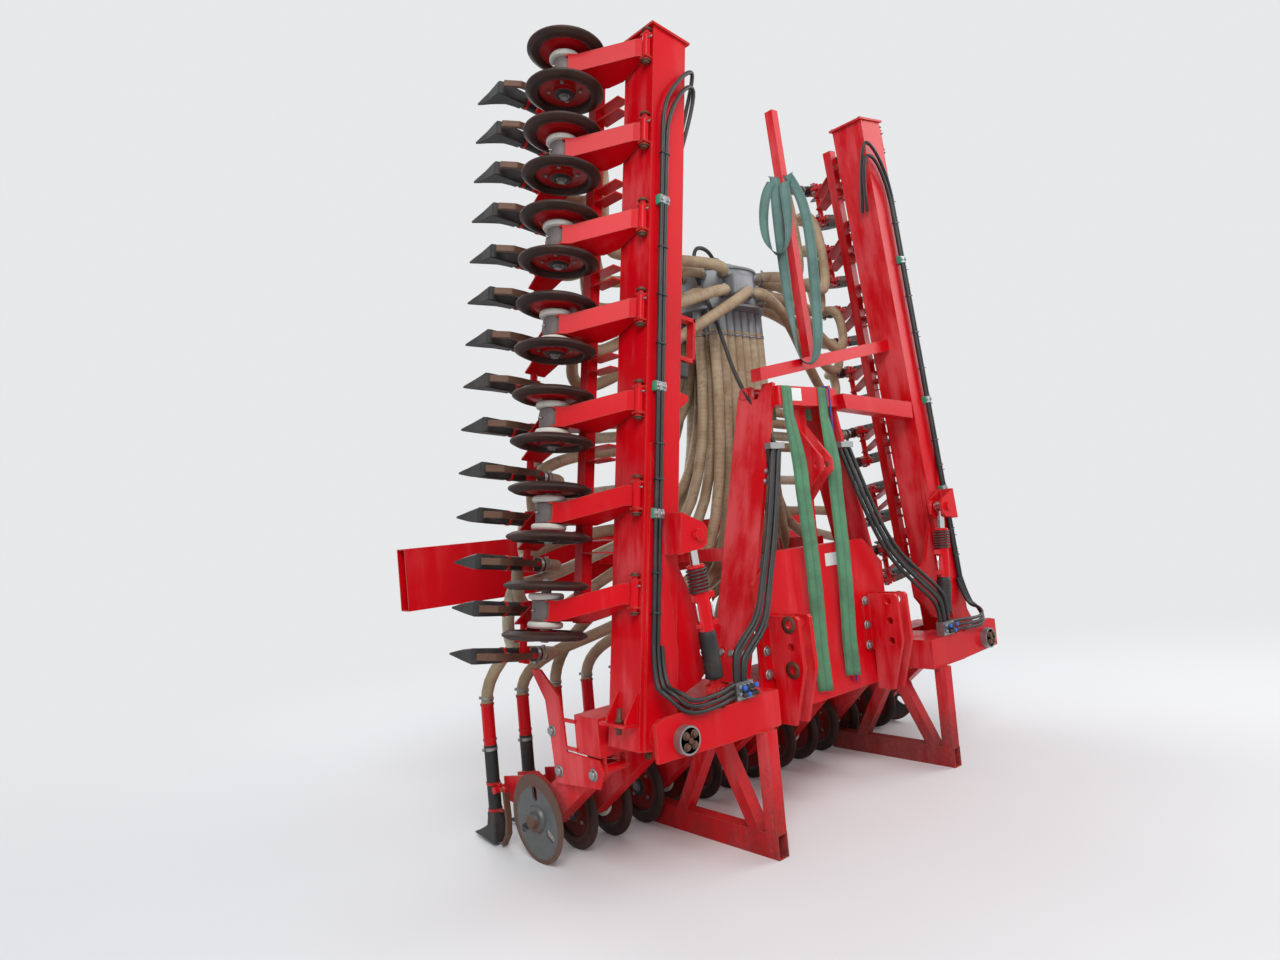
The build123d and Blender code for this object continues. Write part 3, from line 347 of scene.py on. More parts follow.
def ribbed(name, color, dark, pitch):
    """A ribbed hose with painted shade in the troughs between its ribs; its UV runs along it in metres."""
    rubber = Finish(name, 0.62)
    uv = rubber.node("ShaderNodeUVMap", {"uv_map": "along"})
    run = rubber.axis("X", uv) * (2 * math.pi / pitch)
    rib = rubber.node("ShaderNodeMath", {"operation": "SINE"}, {0: run}) * 0.5 + 0.5
    broad = rubber.noise(5.0, 4, 0.65)
    fine = rubber.noise(90.0, 4, 0.6)
    tone = rubber.mix(broad.step(0.3, 0.72), color, dark)
    grime = rubber.noise(17.0, 5, 0.72).step(0.52, 0.68) * 0.45
    # The troughs between the ribs are painted darker as shade in the creases; the grime noise adds real dirt
    # to the same darkening.
    tone = rubber.mix(((1.0 - rib) * 0.14 + grime).at_most(1.0), tone, tuple(0.42 * c for c in dark))
    rubber.set(Base_Color=tone, Roughness=0.44 + broad * 0.25)
    return rubber.bump(rib * 0.8 + fine * 0.15, 0.30, 0.0014)


def webbing(name, color, dark):
    """Woven strap; its UV runs along it in metres."""
    cloth = Finish(name, 0.86)
    uv = cloth.node("ShaderNodeUVMap", {"uv_map": "along"})
    run = cloth.axis("X", uv) * (2 * math.pi / 0.006)
    across = cloth.axis("Y", uv) * (2 * math.pi / 0.008)
    twill = cloth.node("ShaderNodeMath", {"operation": "SINE"}, {0: run + across}) * 0.5 + 0.5
    stripe = cloth.node("ShaderNodeMath", {"operation": "SINE"}, {0: across * 0.25}) * 0.5 + 0.5
    stain = cloth.noise(7.0, 4, 0.65)
    tone = cloth.mix(stain.step(0.35, 0.7) * 0.7, color, dark)
    tone = cloth.mix(stripe.step(0.75, 0.95) * 0.25 + twill * 0.15, tone, tuple(0.5 * c for c in dark))
    cloth.set(Base_Color=tone, Roughness=0.8 + twill * 0.1)
    return cloth.bump(twill, 0.35, 0.0008)


FINISHES = {}


def finish(name):
    return FINISHES[name].material


def new_piece(name, mesh_or_bm, finishes, body, replaced=()):
    """An object for a finished mesh, riding on a body, with its materials in order."""
    mesh = mesh_or_bm
    if isinstance(mesh_or_bm, bmesh.types.BMesh):
        mesh = bpy.data.meshes.new(name)
        mesh_or_bm.to_mesh(mesh)
        mesh_or_bm.free()
    for entry in finishes:
        mesh.materials.append(finish(entry))
    piece = bpy.data.objects.new(name, mesh)
    bpy.context.scene.collection.objects.link(piece)
    if body:
        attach(piece, body)
    if replaced:
        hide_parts(*replaced)
    return piece


def section(start, end, inner, outer):
    """The outline of a plain ring or rod for spun, from start to end along X."""
    return [(start, inner), (start, outer), (end, outer), (end, inner)]


def spun(bm, outline, steps, material=0, matrix=None):
    """Adds an outline of (along X, radius), spun once round X."""
    verts = [bm.verts.new((x, 0, r)) for x, r in outline]
    edges = [bm.edges.new((a, b)) for a, b in zip(verts, verts[1:])]
    before = set(bm.faces)
    bmesh.ops.spin(bm, geom=verts + edges, cent=(0, 0, 0), axis=(1, 0, 0), angle=2 * math.pi,
                   steps=steps, use_merge=True)
    faces = [f for f in bm.faces if f not in before]
    used = distinct(v for f in faces for v in f.verts)
    bmesh.ops.remove_doubles(bm, verts=used, dist=1e-6)
    faces = [f for f in bm.faces if f not in before]
    bmesh.ops.recalc_face_normals(bm, faces=faces)
    used = distinct(v for f in faces for v in f.verts)
    for face in faces:
        face.material_index = material
        face.smooth = True
    if matrix is not None:
        bmesh.ops.transform(bm, matrix=matrix, verts=used)


def sharpen(bm, degrees=32):
    """Marks edges sharper than an angle, so that smooth shading keeps the corners."""
    for edge in bm.edges:
        if len(edge.link_faces) == 2:
            edge.smooth = edge.calc_face_angle(0.0) < math.radians(degrees)


def bevelled(bm, verts, radius, segments):
    """Bevels every edge of the shell that verts make, and gives the shell's faces and verts."""
    edges = distinct(e for v in verts for e in v.link_edges)
    cut = bmesh.ops.bevel(bm, geom=edges, offset=radius, offset_type="OFFSET", segments=segments, profile=0.5,
                          affect="EDGES", material=-1)
    faces = distinct([f for v in cut["verts"] for f in v.link_faces] + cut["faces"])
    return faces, distinct(v for f in faces for v in f.verts)


def rounded_box(bm, size, matrix, radius=0.002, material=0, segments=2):
    """A box of a size with bevelled edges."""
    verts = bmesh.ops.create_cube(bm, size=1.0)["verts"]
    bmesh.ops.scale(bm, vec=size, verts=verts)
    faces, used = bevelled(bm, verts, radius, segments)
    for face in faces:
        face.material_index = material
    bmesh.ops.transform(bm, matrix=matrix, verts=used)


def lay_along(direction, point, up=(0, 0, 1)):
    """A matrix that puts a piece's X along a direction at a point."""
    x = Vector(direction).normalized()
    y = Vector(up).cross(x)
    if y.length < 1e-4:
        y = Vector((0, 1, 0))
    y.normalize()
    z = x.cross(y)
    return Matrix.Translation(point) @ Matrix((x, y, z)).transposed().to_4x4()


def hex_bolt(bm, matrix, across=0.024, thick=0.010, washer=True, material=0):
    """A bolt head along X with its washer."""
    r = across / 2 / math.cos(math.radians(30))
    outline = [(0, 0), (0, r), (thick * 0.85, r), (thick, r * 0.86), (thick, 0)]
    spun(bm, outline, 6, material, matrix)
    if washer:
        spun(bm, section(-0.001, 0.002, 0, r * 1.35), 10, material, matrix)


def nurbs(points, radius, sides, steps):
    """A smooth curve through a route's control points, as a curve datablock."""
    curve = bpy.data.curves.new("route", "CURVE")
    curve.dimensions = "3D"
    curve.resolution_u = steps
    curve.bevel_depth = radius
    curve.bevel_resolution = sides
    curve.use_fill_caps = True
    spline = curve.splines.new("NURBS")
    spline.points.add(len(points) - 1)
    for point, place in zip(spline.points, points):
        point.co = (*place, 1.0)
    spline.order_u = 3
    spline.use_endpoint_u = True
    return curve


def route_line(points, steps=8):
    """Points along a route's smooth curve."""
    curve = nurbs(points, 0.0, 0, steps)
    holder = bpy.data.objects.new("route", curve)
    mesh = bpy.data.meshes.new_from_object(holder)
    line = [v.co.copy() for v in mesh.vertices]
    bpy.data.objects.remove(holder)
    bpy.data.meshes.remove(mesh)
    return line


def hose_mesh(routes, radius, sides=3, steps=6):
    """One mesh with a round hose along each route, and a UV layer in metres along it."""
    bm = bmesh.new()
    bm.loops.layers.uv.new("along")
    for points in routes:
        line = route_line(points, steps)
        length = sum((b - a).length for a, b in zip(line, line[1:]))
        curve = nurbs(points, radius, sides, steps)
        holder = bpy.data.objects.new("hose", curve)
        mesh = bpy.data.meshes.new_from_object(holder)
        source = mesh.uv_layers.active
        part = bmesh.new()
        part.from_mesh(mesh)
        uv = part.loops.layers.uv.active
        along = part.loops.layers.uv.new("along")
        for face in part.faces:
            face.smooth = True
            for loop in face.loops:
                u, v = loop[uv].uv if source else (0, 0)
                loop[along].uv = (u * length, v * 2 * math.pi * radius)
        clean = bpy.data.meshes.new("hose")
        part.to_mesh(clean)
        part.free()
        for old in [l for l in clean.uv_layers if l.name != "along"]:
            clean.uv_layers.remove(old)
        bm.from_mesh(clean)
        bpy.data.objects.remove(holder)
        bpy.data.curves.remove(curve)
        bpy.data.meshes.remove(mesh)
        bpy.data.meshes.remove(clean)
    return bm


def centre_hose_route(k):
    """From the distributor down behind the headstock to the tube of centre row k."""
    x, row_x = 28.0 * k, ROW_PITCH * k
    if k == 0:
        run = [(0, 410, STUB_Z), (0, 410, 1400), (-12, 478, 1290), (-84, 496, 1200), (-84, 700, 920)]
    elif abs(k) == 3:
        run = [(x, 485, STUB_Z), (x, 485, 1900), (x, 465, 1280), (x + 0.55 * (row_x - x), 640, 1010)]
    elif k % 2:
        run = [(x, 485, STUB_Z), (x, 485, 1400), (x + 0.55 * (row_x - x), 640, 1130)]
    else:
        run = [(x, 410, STUB_Z), (x, 410, 1130), (x + 0.6 * (row_x - x), 640, 900)]
    above = 790 if k == 0 else 800 if k % 2 else 760
    run += [(row_x, CENTRE_TUBE_Y, above), (row_x, CENTRE_TUBE_Y, 625)]
    return [at(*p) for p in run]


def wing_hose_route(m, side):
    """From the tube of a wing's row m, counted from the tip, to the distributor."""
    s = TOP_ARM_S - CRANK - ROW_PITCH * m
    if m <= 6:
        k = 6 - m
        (y, h), cross, (angle, z) = UPPER_LANES[k], UPPER_CROSSING[k], UPPER_OUTLETS[k]
        ux, uy = side * math.cos(math.radians(angle)), math.sin(math.radians(angle))
        run = [(s, WING_TUBE_Y, -140), (s, WING_TUBE_Y, h), (s, y, h), (cross, y, h), (cross, y, h + 150)]
        ends = [at(ux * reach, DIST_Y + uy * reach, z) for reach in (DIST_R + 150, DIST_R + 20)]
        return [wing_at(side, *p) for p in run] + ends
    k = m - 7
    (y, h), cross, out = LOWER_LANES[k], LOWER_CROSSING[k], side * LOWER_OUTLET_X[k]
    run = [(s, WING_TUBE_Y, -140), (s, WING_TUBE_Y, -40), (s, y, -40)]
    if h < -50:
        run.append((s, y, h))
    run.append((cross, y, h))
    if k == 6:
        run.append((cross, y, h + 130))
    points = [wing_at(side, *p) for p in run]
    if k == 6:
        points += [at(side * 640, y, 1270), at(out, y, 1420)]
    else:
        low = points[-1].z * 1000
        points.append(at(out, y, low + (45 if k == 0 else 30)))
    return points + [at(out, y, STUB_Z)]


def band(bm, place, radius, width, thick=0.002, material=0, lug=True):
    """A hose clamp round X at a place, with its screw housing."""
    inner, outer = radius - 0.001, radius + thick
    spun(bm, section(-width / 2, width / 2, inner, outer), 18, material, place)
    if lug:
        seat = place @ shift(0, 0, outer + 0.004)
        rounded_box(bm, (width * 0.9, 0.016, 0.010), seat, 0.0015, material, 1)


def prism(bm, outline, thickness, place, radius=0.002, material=0):
    """A plate from its outline in X and Y, thickened along Z, with bevelled edges, at a place."""
    verts = [bm.verts.new((x, y, 0)) for x, y in outline]
    face = bm.faces.new(verts)
    grown = bmesh.ops.extrude_face_region(bm, geom=[face])
    top = [v for v in grown["geom"] if isinstance(v, bmesh.types.BMVert)]
    bmesh.ops.translate(bm, vec=(0, 0, thickness), verts=top)
    verts += top
    faces = distinct(f for v in verts for f in v.link_faces)
    bmesh.ops.recalc_face_normals(bm, faces=faces)
    if radius:
        faces, verts = bevelled(bm, verts, radius, 1)
    for face in faces:
        face.material_index = material
    bmesh.ops.transform(bm, matrix=place, verts=verts)
    return faces


def flat_y(side, y):
    """A place for an outline of (x, z) in metres on the left side, thickened to the front from y."""
    return Matrix(((side, 0, 0, 0), (0, 0, -1, (y - ORIGIN_Y) / 1000), (0, 1, 0, 0), (0, 0, 0, 1)))


def flat_x(x):
    """A place for an outline of (y, z) in metres, thickened towards +X from x."""
    return Matrix(((0, 0, 1, x / 1000), (1, 0, 0, -ORIGIN_Y / 1000), (0, 1, 0, 0), (0, 0, 0, 1)))


def turned_right(bm):
    """Recalculates the normals of a finished mesh, so that every shell faces outwards."""
    bmesh.ops.recalc_face_normals(bm, faces=bm.faces)
    return bm


class InjectorSizes(bpy.types.PropertyGroup):
    """Sizes and the colour that the steps read"""

    wheel_radius: FloatProperty(name="Wheel radius", description="Outer radius of the press wheels",
                                default=0.165, unit="LENGTH")
    hose_radius: FloatProperty(name="Hose radius", description="Radius of the slurry hoses",
                               default=0.027, unit="LENGTH")
    wheel_steps: IntProperty(name="Wheel steps", description="Segments round a press wheel", default=44)
    line_radius: FloatProperty(name="Line radius", description="Radius of the hydraulic lines on the wings",
                               default=0.009, unit="LENGTH")
    sling_width: FloatProperty(name="Sling width", description="Width of the lifting slings",
                               default=0.070, unit="LENGTH")
    hose_color: FloatVectorProperty(name="Hose colour", description="Colour of the slurry hoses",
                                    subtype="COLOR", size=3, default=(0.47, 0.37, 0.235))


class INJECTOR_OT_finishes(bpy.types.Operator):
    """Makes every material and puts the plain ones on the CAD nodes"""

    bl_idname = "injector.finishes"
    bl_label = "Finishes"

    def execute(self, context):
        sizes = context.scene.injector
        FINISHES.update({
            "red": worn_paint("worn_red_paint"),
            "red_arms": worn_paint("worn_red_arms", grime=0.8, chips=0.75),
            "red_frame": worn_paint("dusty_red_frame", grime=1.0, chips=0.6),
            "disc": rusty_disc("rusty_press_wheel", (0.022, 0.011, 0.009), (0.050, 0.020, 0.014)),
            "hub": moulded("black_hub", (0.012, 0.011, 0.011), 0.45, 0.5, (0.06, 0.03, 0.022)),
            # The wheel centres' second colour is darker than their first, so their faces turned sideways get
            # painted shade.
            "disc_centre": worn_paint("red_wheel_centre", (0.34, 0.004, 0.006), (0.24, 0.010, 0.009),
                                      1.0, 1.0),
            "end_disc": rusted_rim("grey_end_disc", (0.105, 0.112, 0.110), CENTRE_AXLE),
            "ring": moulded("white_plastic_ring", (0.66, 0.64, 0.58), 0.42, 0.4, (0.33, 0.28, 0.21)),
            "housing": plain_metal("dirty_bearing_housing", (0.20, 0.17, 0.165), 0.6, 0.5,
                                   (0.28, 0.05, 0.045), 0.6),
            "steel": plain_metal("bright_steel", (0.33, 0.33, 0.33), 0.36, 0.8),
            "zinc": plain_metal("dull_zinc", (0.30, 0.32, 0.335), 0.5, 0.6, (0.17, 0.155, 0.14), 0.55),
            "rusty_steel": rusty_disc("rusty_bar", (0.12, 0.060, 0.035)),
            "chrome": plain_metal("polished_rod", (0.66, 0.66, 0.67), 0.14, 1.0, (0.3, 0.28, 0.26), 0.15),
            "rubber": moulded("black_rubber", (0.012, 0.012, 0.013), 0.55),
            "black_hose": moulded("black_hydraulic_hose", (0.011, 0.011, 0.012), 0.42, 0.25),
            "slurry_hose": ribbed("ribbed_slurry_hose", tuple(sizes.hose_color), (0.30, 0.205, 0.115), 0.011),
            "cream_hose": ribbed("cream_slurry_hose", (0.56, 0.50, 0.38), (0.42, 0.35, 0.24), 0.011),
            "sling": webbing("green_sling", (0.10, 0.28, 0.145), (0.065, 0.13, 0.08)),
            "strap": webbing("grey_green_strap", (0.13, 0.24, 0.215), (0.07, 0.125, 0.11)),
            "rope": webbing("blue_rope", (0.02, 0.08, 0.42), (0.015, 0.04, 0.2)),
            "clamp": moulded("green_clamp", (0.02, 0.30, 0.17), 0.4, 0.2),
            "plate": moulded("blank_plate", (0.72, 0.72, 0.70), 0.35, 0.2, (0.4, 0.36, 0.3)),
            "blue_cap": moulded("blue_cap", (0.015, 0.10, 0.50), 0.4, 0.15),
            "spring": moulded("dark_spring", (0.035, 0.030, 0.028), 0.4, 0.5, (0.16, 0.08, 0.05)),
        })
        plain = {
            "red": ["wing_rest_arm", "hose_guide", "headstock", "front_panel", "top_link_bracket"],
            "red_arms": ["centre_arms", "right_wing_arms", "left_wing_arms"],
            "red_frame": ["main_frame", "parking_stands", "lower_link_brackets", "rear_board"],
            "end_disc": ["right_end_disc", "left_end_disc"],
            "steel": ["hinge_pins", "hose_blocks"],
            "zinc": ["distributor", "distributor_mast"],
            "chrome": ["right_cylinder_rod", "left_cylinder_rod"],
        }
        for _, label in SIDES:
            plain["red"] += [label + "_wing_beam", label + "_wing_rail", label + "_cylinder_barrel"]
        for name, nodes in plain.items():
            for node in nodes:
                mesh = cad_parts[node].data
                mesh.materials.clear()
                mesh.materials.append(finish(name))
        return {"FINISHED"}


class INJECTOR_OT_wheels(bpy.types.Operator):
    """Puts dished press wheels with their plastic rings on every axle"""

    bl_idname = "injector.wheels"
    bl_label = "Press wheels"

    def wheel(self, bm, offset, side, steps, radius):
        t = shift(offset, 0, 0) @ Matrix.Scale(side, 4, (1, 0, 0))
        rim = [(-0.009, 0.109), (-0.014, 0.114), (-0.017, 0.119), (-0.017, 0.141), (-0.015, 0.145),
               (-0.006, 0.1625), (-0.003, radius), (0.003, radius), (0.006, 0.1625), (0.015, 0.145),
               (0.017, 0.141), (0.017, 0.119), (0.014, 0.114), (-0.003, 0.109), (-0.009, 0.109)]
        spun(bm, rim, steps, 0, t)
        dish = [(-0.009, 0.110), (-0.009, 0.094), (-0.0125, 0.088), (-0.0125, 0.052), (-0.017, 0.045),
                (-0.017, 0.0), (0.010, 0.0), (0.010, 0.046), (-0.0065, 0.050), (-0.0065, 0.088),
                (-0.003, 0.094), (-0.003, 0.110), (-0.009, 0.110)]
        spun(bm, dish, steps, 1, t)
        hub = [(-0.006, 0.044), (0.012, 0.043), (0.017, 0.037), (0.018, 0.028), (0.015, 0.024), (0.015, 0.0)]
        spun(bm, hub, 24, 4, t)
        hex_bolt(bm, t @ shift(0.015, 0, 0), 0.030, 0.013, True, 3)
        for k in range(4):
            turn = rotated(45 + 90 * k, "X")
            hex_bolt(bm, t @ turn @ shift(-0.0065, 0, 0.066), 0.015, 0.007, False, 3)

    def execute(self, context):
        sizes = context.scene.injector
        steps, radius = sizes.wheel_steps, sizes.wheel_radius
        half = ROW_PITCH / 2000
        pair = bmesh.new()
        for side in (1, -1):
            self.wheel(pair, side * half, side, steps, radius)
            ring = [(-0.014, 0.02), (-0.014, 0.058), (-0.011, 0.065), (-0.005, 0.069), (0.004, 0.069),
                    (0.010, 0.065), (0.013, 0.057), (0.013, 0.02), (-0.014, 0.02)]
            spun(pair, ring, 28, 2, shift(side * 0.0545, 0, 0))
        spun(pair, section(-half, half, 0.0, SHAFT_R), 20, 3)
        sharpen(pair)
        single = bmesh.new()
        self.wheel(single, 0, 1, steps, radius)
        spun(single, section(-0.115, 0.015, 0.0, SHAFT_R), 20, 3)
        sharpen(single)
        mats = ["disc", "disc_centre", "ring", "steel", "hub"]
        places = []
        for n, k in enumerate(CENTRE_AXLES, 2):
            place = Matrix.Translation(at(k * ROW_PITCH, *CENTRE_AXLE))
            places.append(("centre_wheels_%d" % n, place, k == 0))
        for side, label in SIDES:
            for i in range(WING_ARMS):
                place = wing_matrix(side, TOP_ARM_S - CRANK - i * 2 * ROW_PITCH, *WING_AXLE)
                places.append(("%s_wing_wheels_%d" % (label, i + 1), place, False))
        for node, place, alone in places:
            bm = (single if alone else pair).copy()
            bmesh.ops.transform(bm, matrix=place, verts=bm.verts)
            if place.determinant() < 0:
                bmesh.ops.reverse_faces(bm, faces=bm.faces)
            new_piece("dressed_" + node, bm, mats, node + "_body", [node])
        pair.free()
        single.free()
        return {"FINISHED"}


class INJECTOR_OT_slurry_hoses(bpy.types.Operator):
    """Lays a ribbed hose from the distributor to every row, with its clamps"""

    bl_idname = "injector.slurry_hoses"
    bl_label = "Slurry hoses"

    def clamp_at(self, bm, line, radius, back=0.020):
        """A steel clamp near the end of a hose's line."""
        end, before = line[-1], line[-3]
        ahead = (end - before).normalized()
        band(bm, lay_along(ahead, end - ahead * back), radius, 0.013)

    def execute(self, context):
        radius = context.scene.injector.hose_radius
        centre = [centre_hose_route(k) for k in CENTRE_ROWS]
        new_piece("slurry_hoses_centre", hose_mesh(centre, radius), ["slurry_hose"], "frame",
                  ["centre_hoses"])
        clamps = bmesh.new()
        for points in centre:
            self.clamp_at(clamps, list(reversed(route_line(points))), radius)
            self.clamp_at(clamps, route_line(points), radius)
        for side, label in SIDES:
            routes = [wing_hose_route(m, side) for m in range(WING_ROWS)]
            mats = ["cream_hose", "slurry_hose"]
            bm = hose_mesh(routes, radius, steps=14)
            bm.faces.ensure_lookup_table()
            per = len(bm.faces) // WING_ROWS
            for n, face in enumerate(bm.faces):
                face.material_index = 0 if n // per in (9, 11, 13) else 1
            piece = new_piece("slurry_hoses_" + label, bm, mats, None, [label + "_wing_hoses"])
            # The bend lies parallel to the leaning wing.
            start = at(side * 280, DIST_Y, 2000)
            outward = wing_at(side, 0, 0, 0) - wing_at(side, 0, 0, 480)
            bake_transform(piece)
            for points in routes:
                self.clamp_at(clamps, route_line(points), radius)
            low = bmesh.new()
            for points in routes:
                self.clamp_at(low, list(reversed(route_line(points))), radius)
            new_piece("row_clamps_" + label, turned_right(low), ["steel"], label + "_wing", ())
        new_piece("hose_clamps_frame", turned_right(clamps), ["steel"], "frame", ())
        return {"FINISHED"}


class INJECTOR_OT_hydraulic_hoses(bpy.types.Operator):
    """Lays the black hydraulic hoses on the wings, round the hinges and over the frame"""

    bl_idname = "injector.hydraulic_hoses"
    bl_label = "Hydraulic hoses"

    def execute(self, context):
        radius = context.scene.injector.line_radius
        to_front = rotated(-90, "Z")
        for side, label in SIDES:
            routes = []
            for n in range(2):
                h = LINE_H + LINE_PITCH * n
                run = [(330, LINE_Y, h), (900, LINE_Y, h), (2300 - 60 * n, LINE_Y, h),
                       (2540 - 60 * n, LINE_Y, h), (2720 - 60 * n, LINE_Y - 12, 66),
                       (2730 - 80 * n, LINE_Y + 16, 135 + 12 * n), (2380, 50 - 30 * n, 100)]
                routes.append([wing_at(side, *p) for p in run])
            bm = hose_mesh(routes, radius, 2)
            for s in (450, 600, 827, 960, 1100, 1328, 1500, 1700, 1900, 2100, 2300):
                fixed = s in (827, 1328, 2100)
                size = (0.040, 0.026, 0.054) if fixed else (0.007, 0.0215, 0.046)
                y = -38.2 if fixed else LINE_Y
                place = wing_matrix(side, s, y, LINE_H + LINE_PITCH / 2)
                rounded_box(bm, size, place, 0.004 if fixed else 0.002, 1 if fixed else 0)
                if fixed:
                    rounded_box(bm, (0.034, 0.004, 0.050), wing_matrix(side, s, -52.5, LINE_H + 11), 0.001, 2)
                    for h in (-6, 28):
                        place = wing_matrix(side, s, -54, LINE_H + h) @ to_front
                        hex_bolt(bm, place, 0.012, 0.006, True, 2)
            new_piece("wing_lines_" + label, turned_right(bm), ["black_hose", "clamp", "steel"],
                      label + "_wing", [label + "_wing_lines"])
            routes = []
            for n in range(3):
                h, z = LINE_H + LINE_PITCH * n, LINE_PITCH * n
                points = [wing_at(side, 328.5, LINE_Y, h), wing_at(side, 180, LINE_Y - 20, h - 8)]
                bend = ((1180 - z, -112 - 20 * n, 740), (1130 - 14 * n, -176 - n, 655 + z),
                        (960, -176 - n, 659 + z), (890, -152, 662 + z), (841, -139, 662 + z))
                points += [at(side * x, y, up) for x, y, up in bend]
                routes.append(points)
            piece = new_piece("hinge_hoses_" + label, hose_mesh(routes, radius, 2), ["black_hose"], None,
                              [label + "_hinge_hoses"])
            at(side * 1140, -176, 650)
            at(side * 1180, -130, 750)
            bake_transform(piece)
        # Each bundle: its side, the steps from hose to hose, and the first hose's way down to the block
        bundles = (
            (-1, (21, 8, 16), ((232, 18, 1640), (330, -10, 1320), (455, -45, 1060), (560, -90, 890),
                               (700, -120, 820), (760, -125, 766), (760, -125, 712))),
            (1, (22, 10, 14), ((232, 18, 1640), (300, -40, 1330), (420, -70, 1090), (600, -95, 930),
                               (715, -118, 836), (755, -122, 772), (755, -122, 712))),
        )
        rises = (0, 0, 0.5, 1, 1, 1, 0)
        runs = []
        for n in range(4):
            for side, (out, back, up), way in bundles:
                runs.append([at(side * (x + out * n), y - back * (n % 2), z + up * n * rise)
                             for (x, y, z), rise in zip(way, rises)])
        new_piece("frame_hose_bundles", hose_mesh(runs, 0.010, 2), ["black_hose"], "frame", ["frame_hoses"])
        loop = [[at(-40, 470, 2640), at(-110, 430, 2700), at(-240, 420, 2710), at(-262, 420, 2600),
                 at(-230, 418, 2500), at(-205, 395, 2420), at(-190, 345, 2250), at(-226, 240, 2000),
                 at(-236, 120, 1830), at(-250, 24, 1660)]]
        new_piece("rotor_hose", hose_mesh(loop, 0.010, 2), ["black_hose"], "frame", ())
        return {"FINISHED"}


class INJECTOR_OT_shoes(bpy.types.Operator):
    """Puts a clamped rubber tube with its pointed foot behind every wheel"""

    bl_idname = "injector.shoes"
    bl_label = "Trailing shoes"

    def foot(self, bm, length):
        """A rubber foot from its side outline, pulled out to its width and narrowed to the tip."""
        edge = [(-0.029, 0.020), (-0.020, 0.0), (length * 0.42, 0.006), (length * 0.72, 0.003),
                (length, 0.001), (length * 0.88, 0.014), (length * 0.66, 0.031),
                (length * 0.45, 0.050), (0.040, 0.075), (0.030, 0.112), (0.028, 0.140),
                (-0.029, 0.140), (-0.030, 0.070)]
        grown = prism(bm, edge, 0.064, Matrix.Identity(4), 0.006)
        for vert in distinct(v for f in grown for v in f.verts):
            along, up, out = vert.co
            share = min(max((along - 0.010) / (length - 0.010), 0.0), 1.0)
            neck = min(max((up - 0.045) / 0.085, 0.0), 1.0)
            vert.co = ((out - 0.032) * (1 - 0.90 * share ** 1.15) * (1 - 0.08 * neck), along, up)
        for face in grown:
            face.smooth = True

    def shoe(self, low, top, length, steel_from, mark):
        """One shoe round the tube's axis Z: rubber, clamps, steel top and foot; execute adds its tine."""
        bm = bmesh.new()
        self.foot(bm, length)
        bmesh.ops.translate(bm, vec=(0, 0, low), verts=bm.verts)
        up = rotated(-90, "Y")
        rubber_top = steel_from if steel_from else top
        tube = [(low + 0.060, 0.0), (low + 0.060, 0.026), (low + 0.080, TUBE_R), (rubber_top, TUBE_R),
                (rubber_top, 0.024), (rubber_top - 0.010, 0.024), (rubber_top - 0.010, 0.0)]
        spun(bm, tube, 18, 0, up)
        if steel_from:
            spun(bm, section(steel_from - 0.02, top, 0.0, 0.0285), 18, 2, up)
            for z in (steel_from + 0.022, top - 0.006):
                spun(bm, section(z - 0.004, z + 0.004, 0.028, 0.0315), 18, 2, up)
        band(bm, up @ shift(rubber_top - 0.018, 0, 0), TUBE_R, 0.014, 0.0022, 1)
        for z in mark:
            band(bm, up @ shift(z, 0, 0), TUBE_R, 0.011, 0.003, 2, False)
            rounded_box(bm, (0.012, 0.040, 0.010), shift(0, -0.040, z), 0.0015, 2)
            hex_bolt(bm, shift(0.006, -0.048, z), 0.012, 0.006, True, 1)
        return bm

    def execute(self, context):
        wing = self.shoe(-0.358, -0.020, 0.165, None, (-0.110, -0.205))
        centre = self.shoe(-0.425, 0.190, 0.200, 0.006, (-0.163, -0.278))
        for bm, drop in ((wing, 0.072), (centre, 0.0)):
            tine = [(-0.100, -0.175), (-0.088, -0.175), (-0.094, -0.250), (-0.098, -0.310), (-0.088, -0.365),
                    (-0.048, -0.422), (-0.062, -0.427), (-0.106, -0.369), (-0.113, -0.310), (-0.109, -0.250)]
            place = Matrix(((0, 0, 1, -0.014), (1, 0, 0, 0), (0, 1, 0, drop), (0, 0, 0, 1)))
            prism(bm, tine, 0.028, place, 0.002, 3)
            rounded_box(bm, (0.018, 0.080, 0.018), shift(0, -0.064, -0.180 + drop), 0.002, 2)
            turned_right(bm)
        mats = ["rubber", "steel", "red_arms", "rusty_steel"]
        whole = bmesh.new()
        for k in CENTRE_ROWS:
            one = centre.copy()
            bmesh.ops.transform(one, matrix=Matrix.Translation(at(k * ROW_PITCH, CENTRE_TUBE_Y, 435)),
                                verts=one.verts)
            self.join(whole, one)
        new_piece("dressed_centre_shoes", whole, mats, "frame", ["centre_shoes"])
        for side, label in SIDES:
            whole = bmesh.new()
            for m in range(WING_ROWS):
                one = wing.copy()
                s = TOP_ARM_S - CRANK - ROW_PITCH * m
                place = wing_matrix(side, s, WING_TUBE_Y, PIN_H)
                bmesh.ops.transform(one, matrix=place, verts=one.verts)
                if place.determinant() < 0:
                    bmesh.ops.reverse_faces(one, faces=one.faces)
                self.join(whole, one)
            new_piece("dressed_%s_wing_shoes" % label, whole, mats, label + "_wing", [label + "_wing_shoes"])
        wing.free()
        centre.free()
        return {"FINISHED"}

    def join(self, whole, one):
        """Adds a finished copy to the mesh that gathers them."""
        sharpen(one)
        mesh = bpy.data.meshes.new("copy")
        one.to_mesh(mesh)
        one.free()
        whole.from_mesh(mesh)
        bpy.data.meshes.remove(mesh)


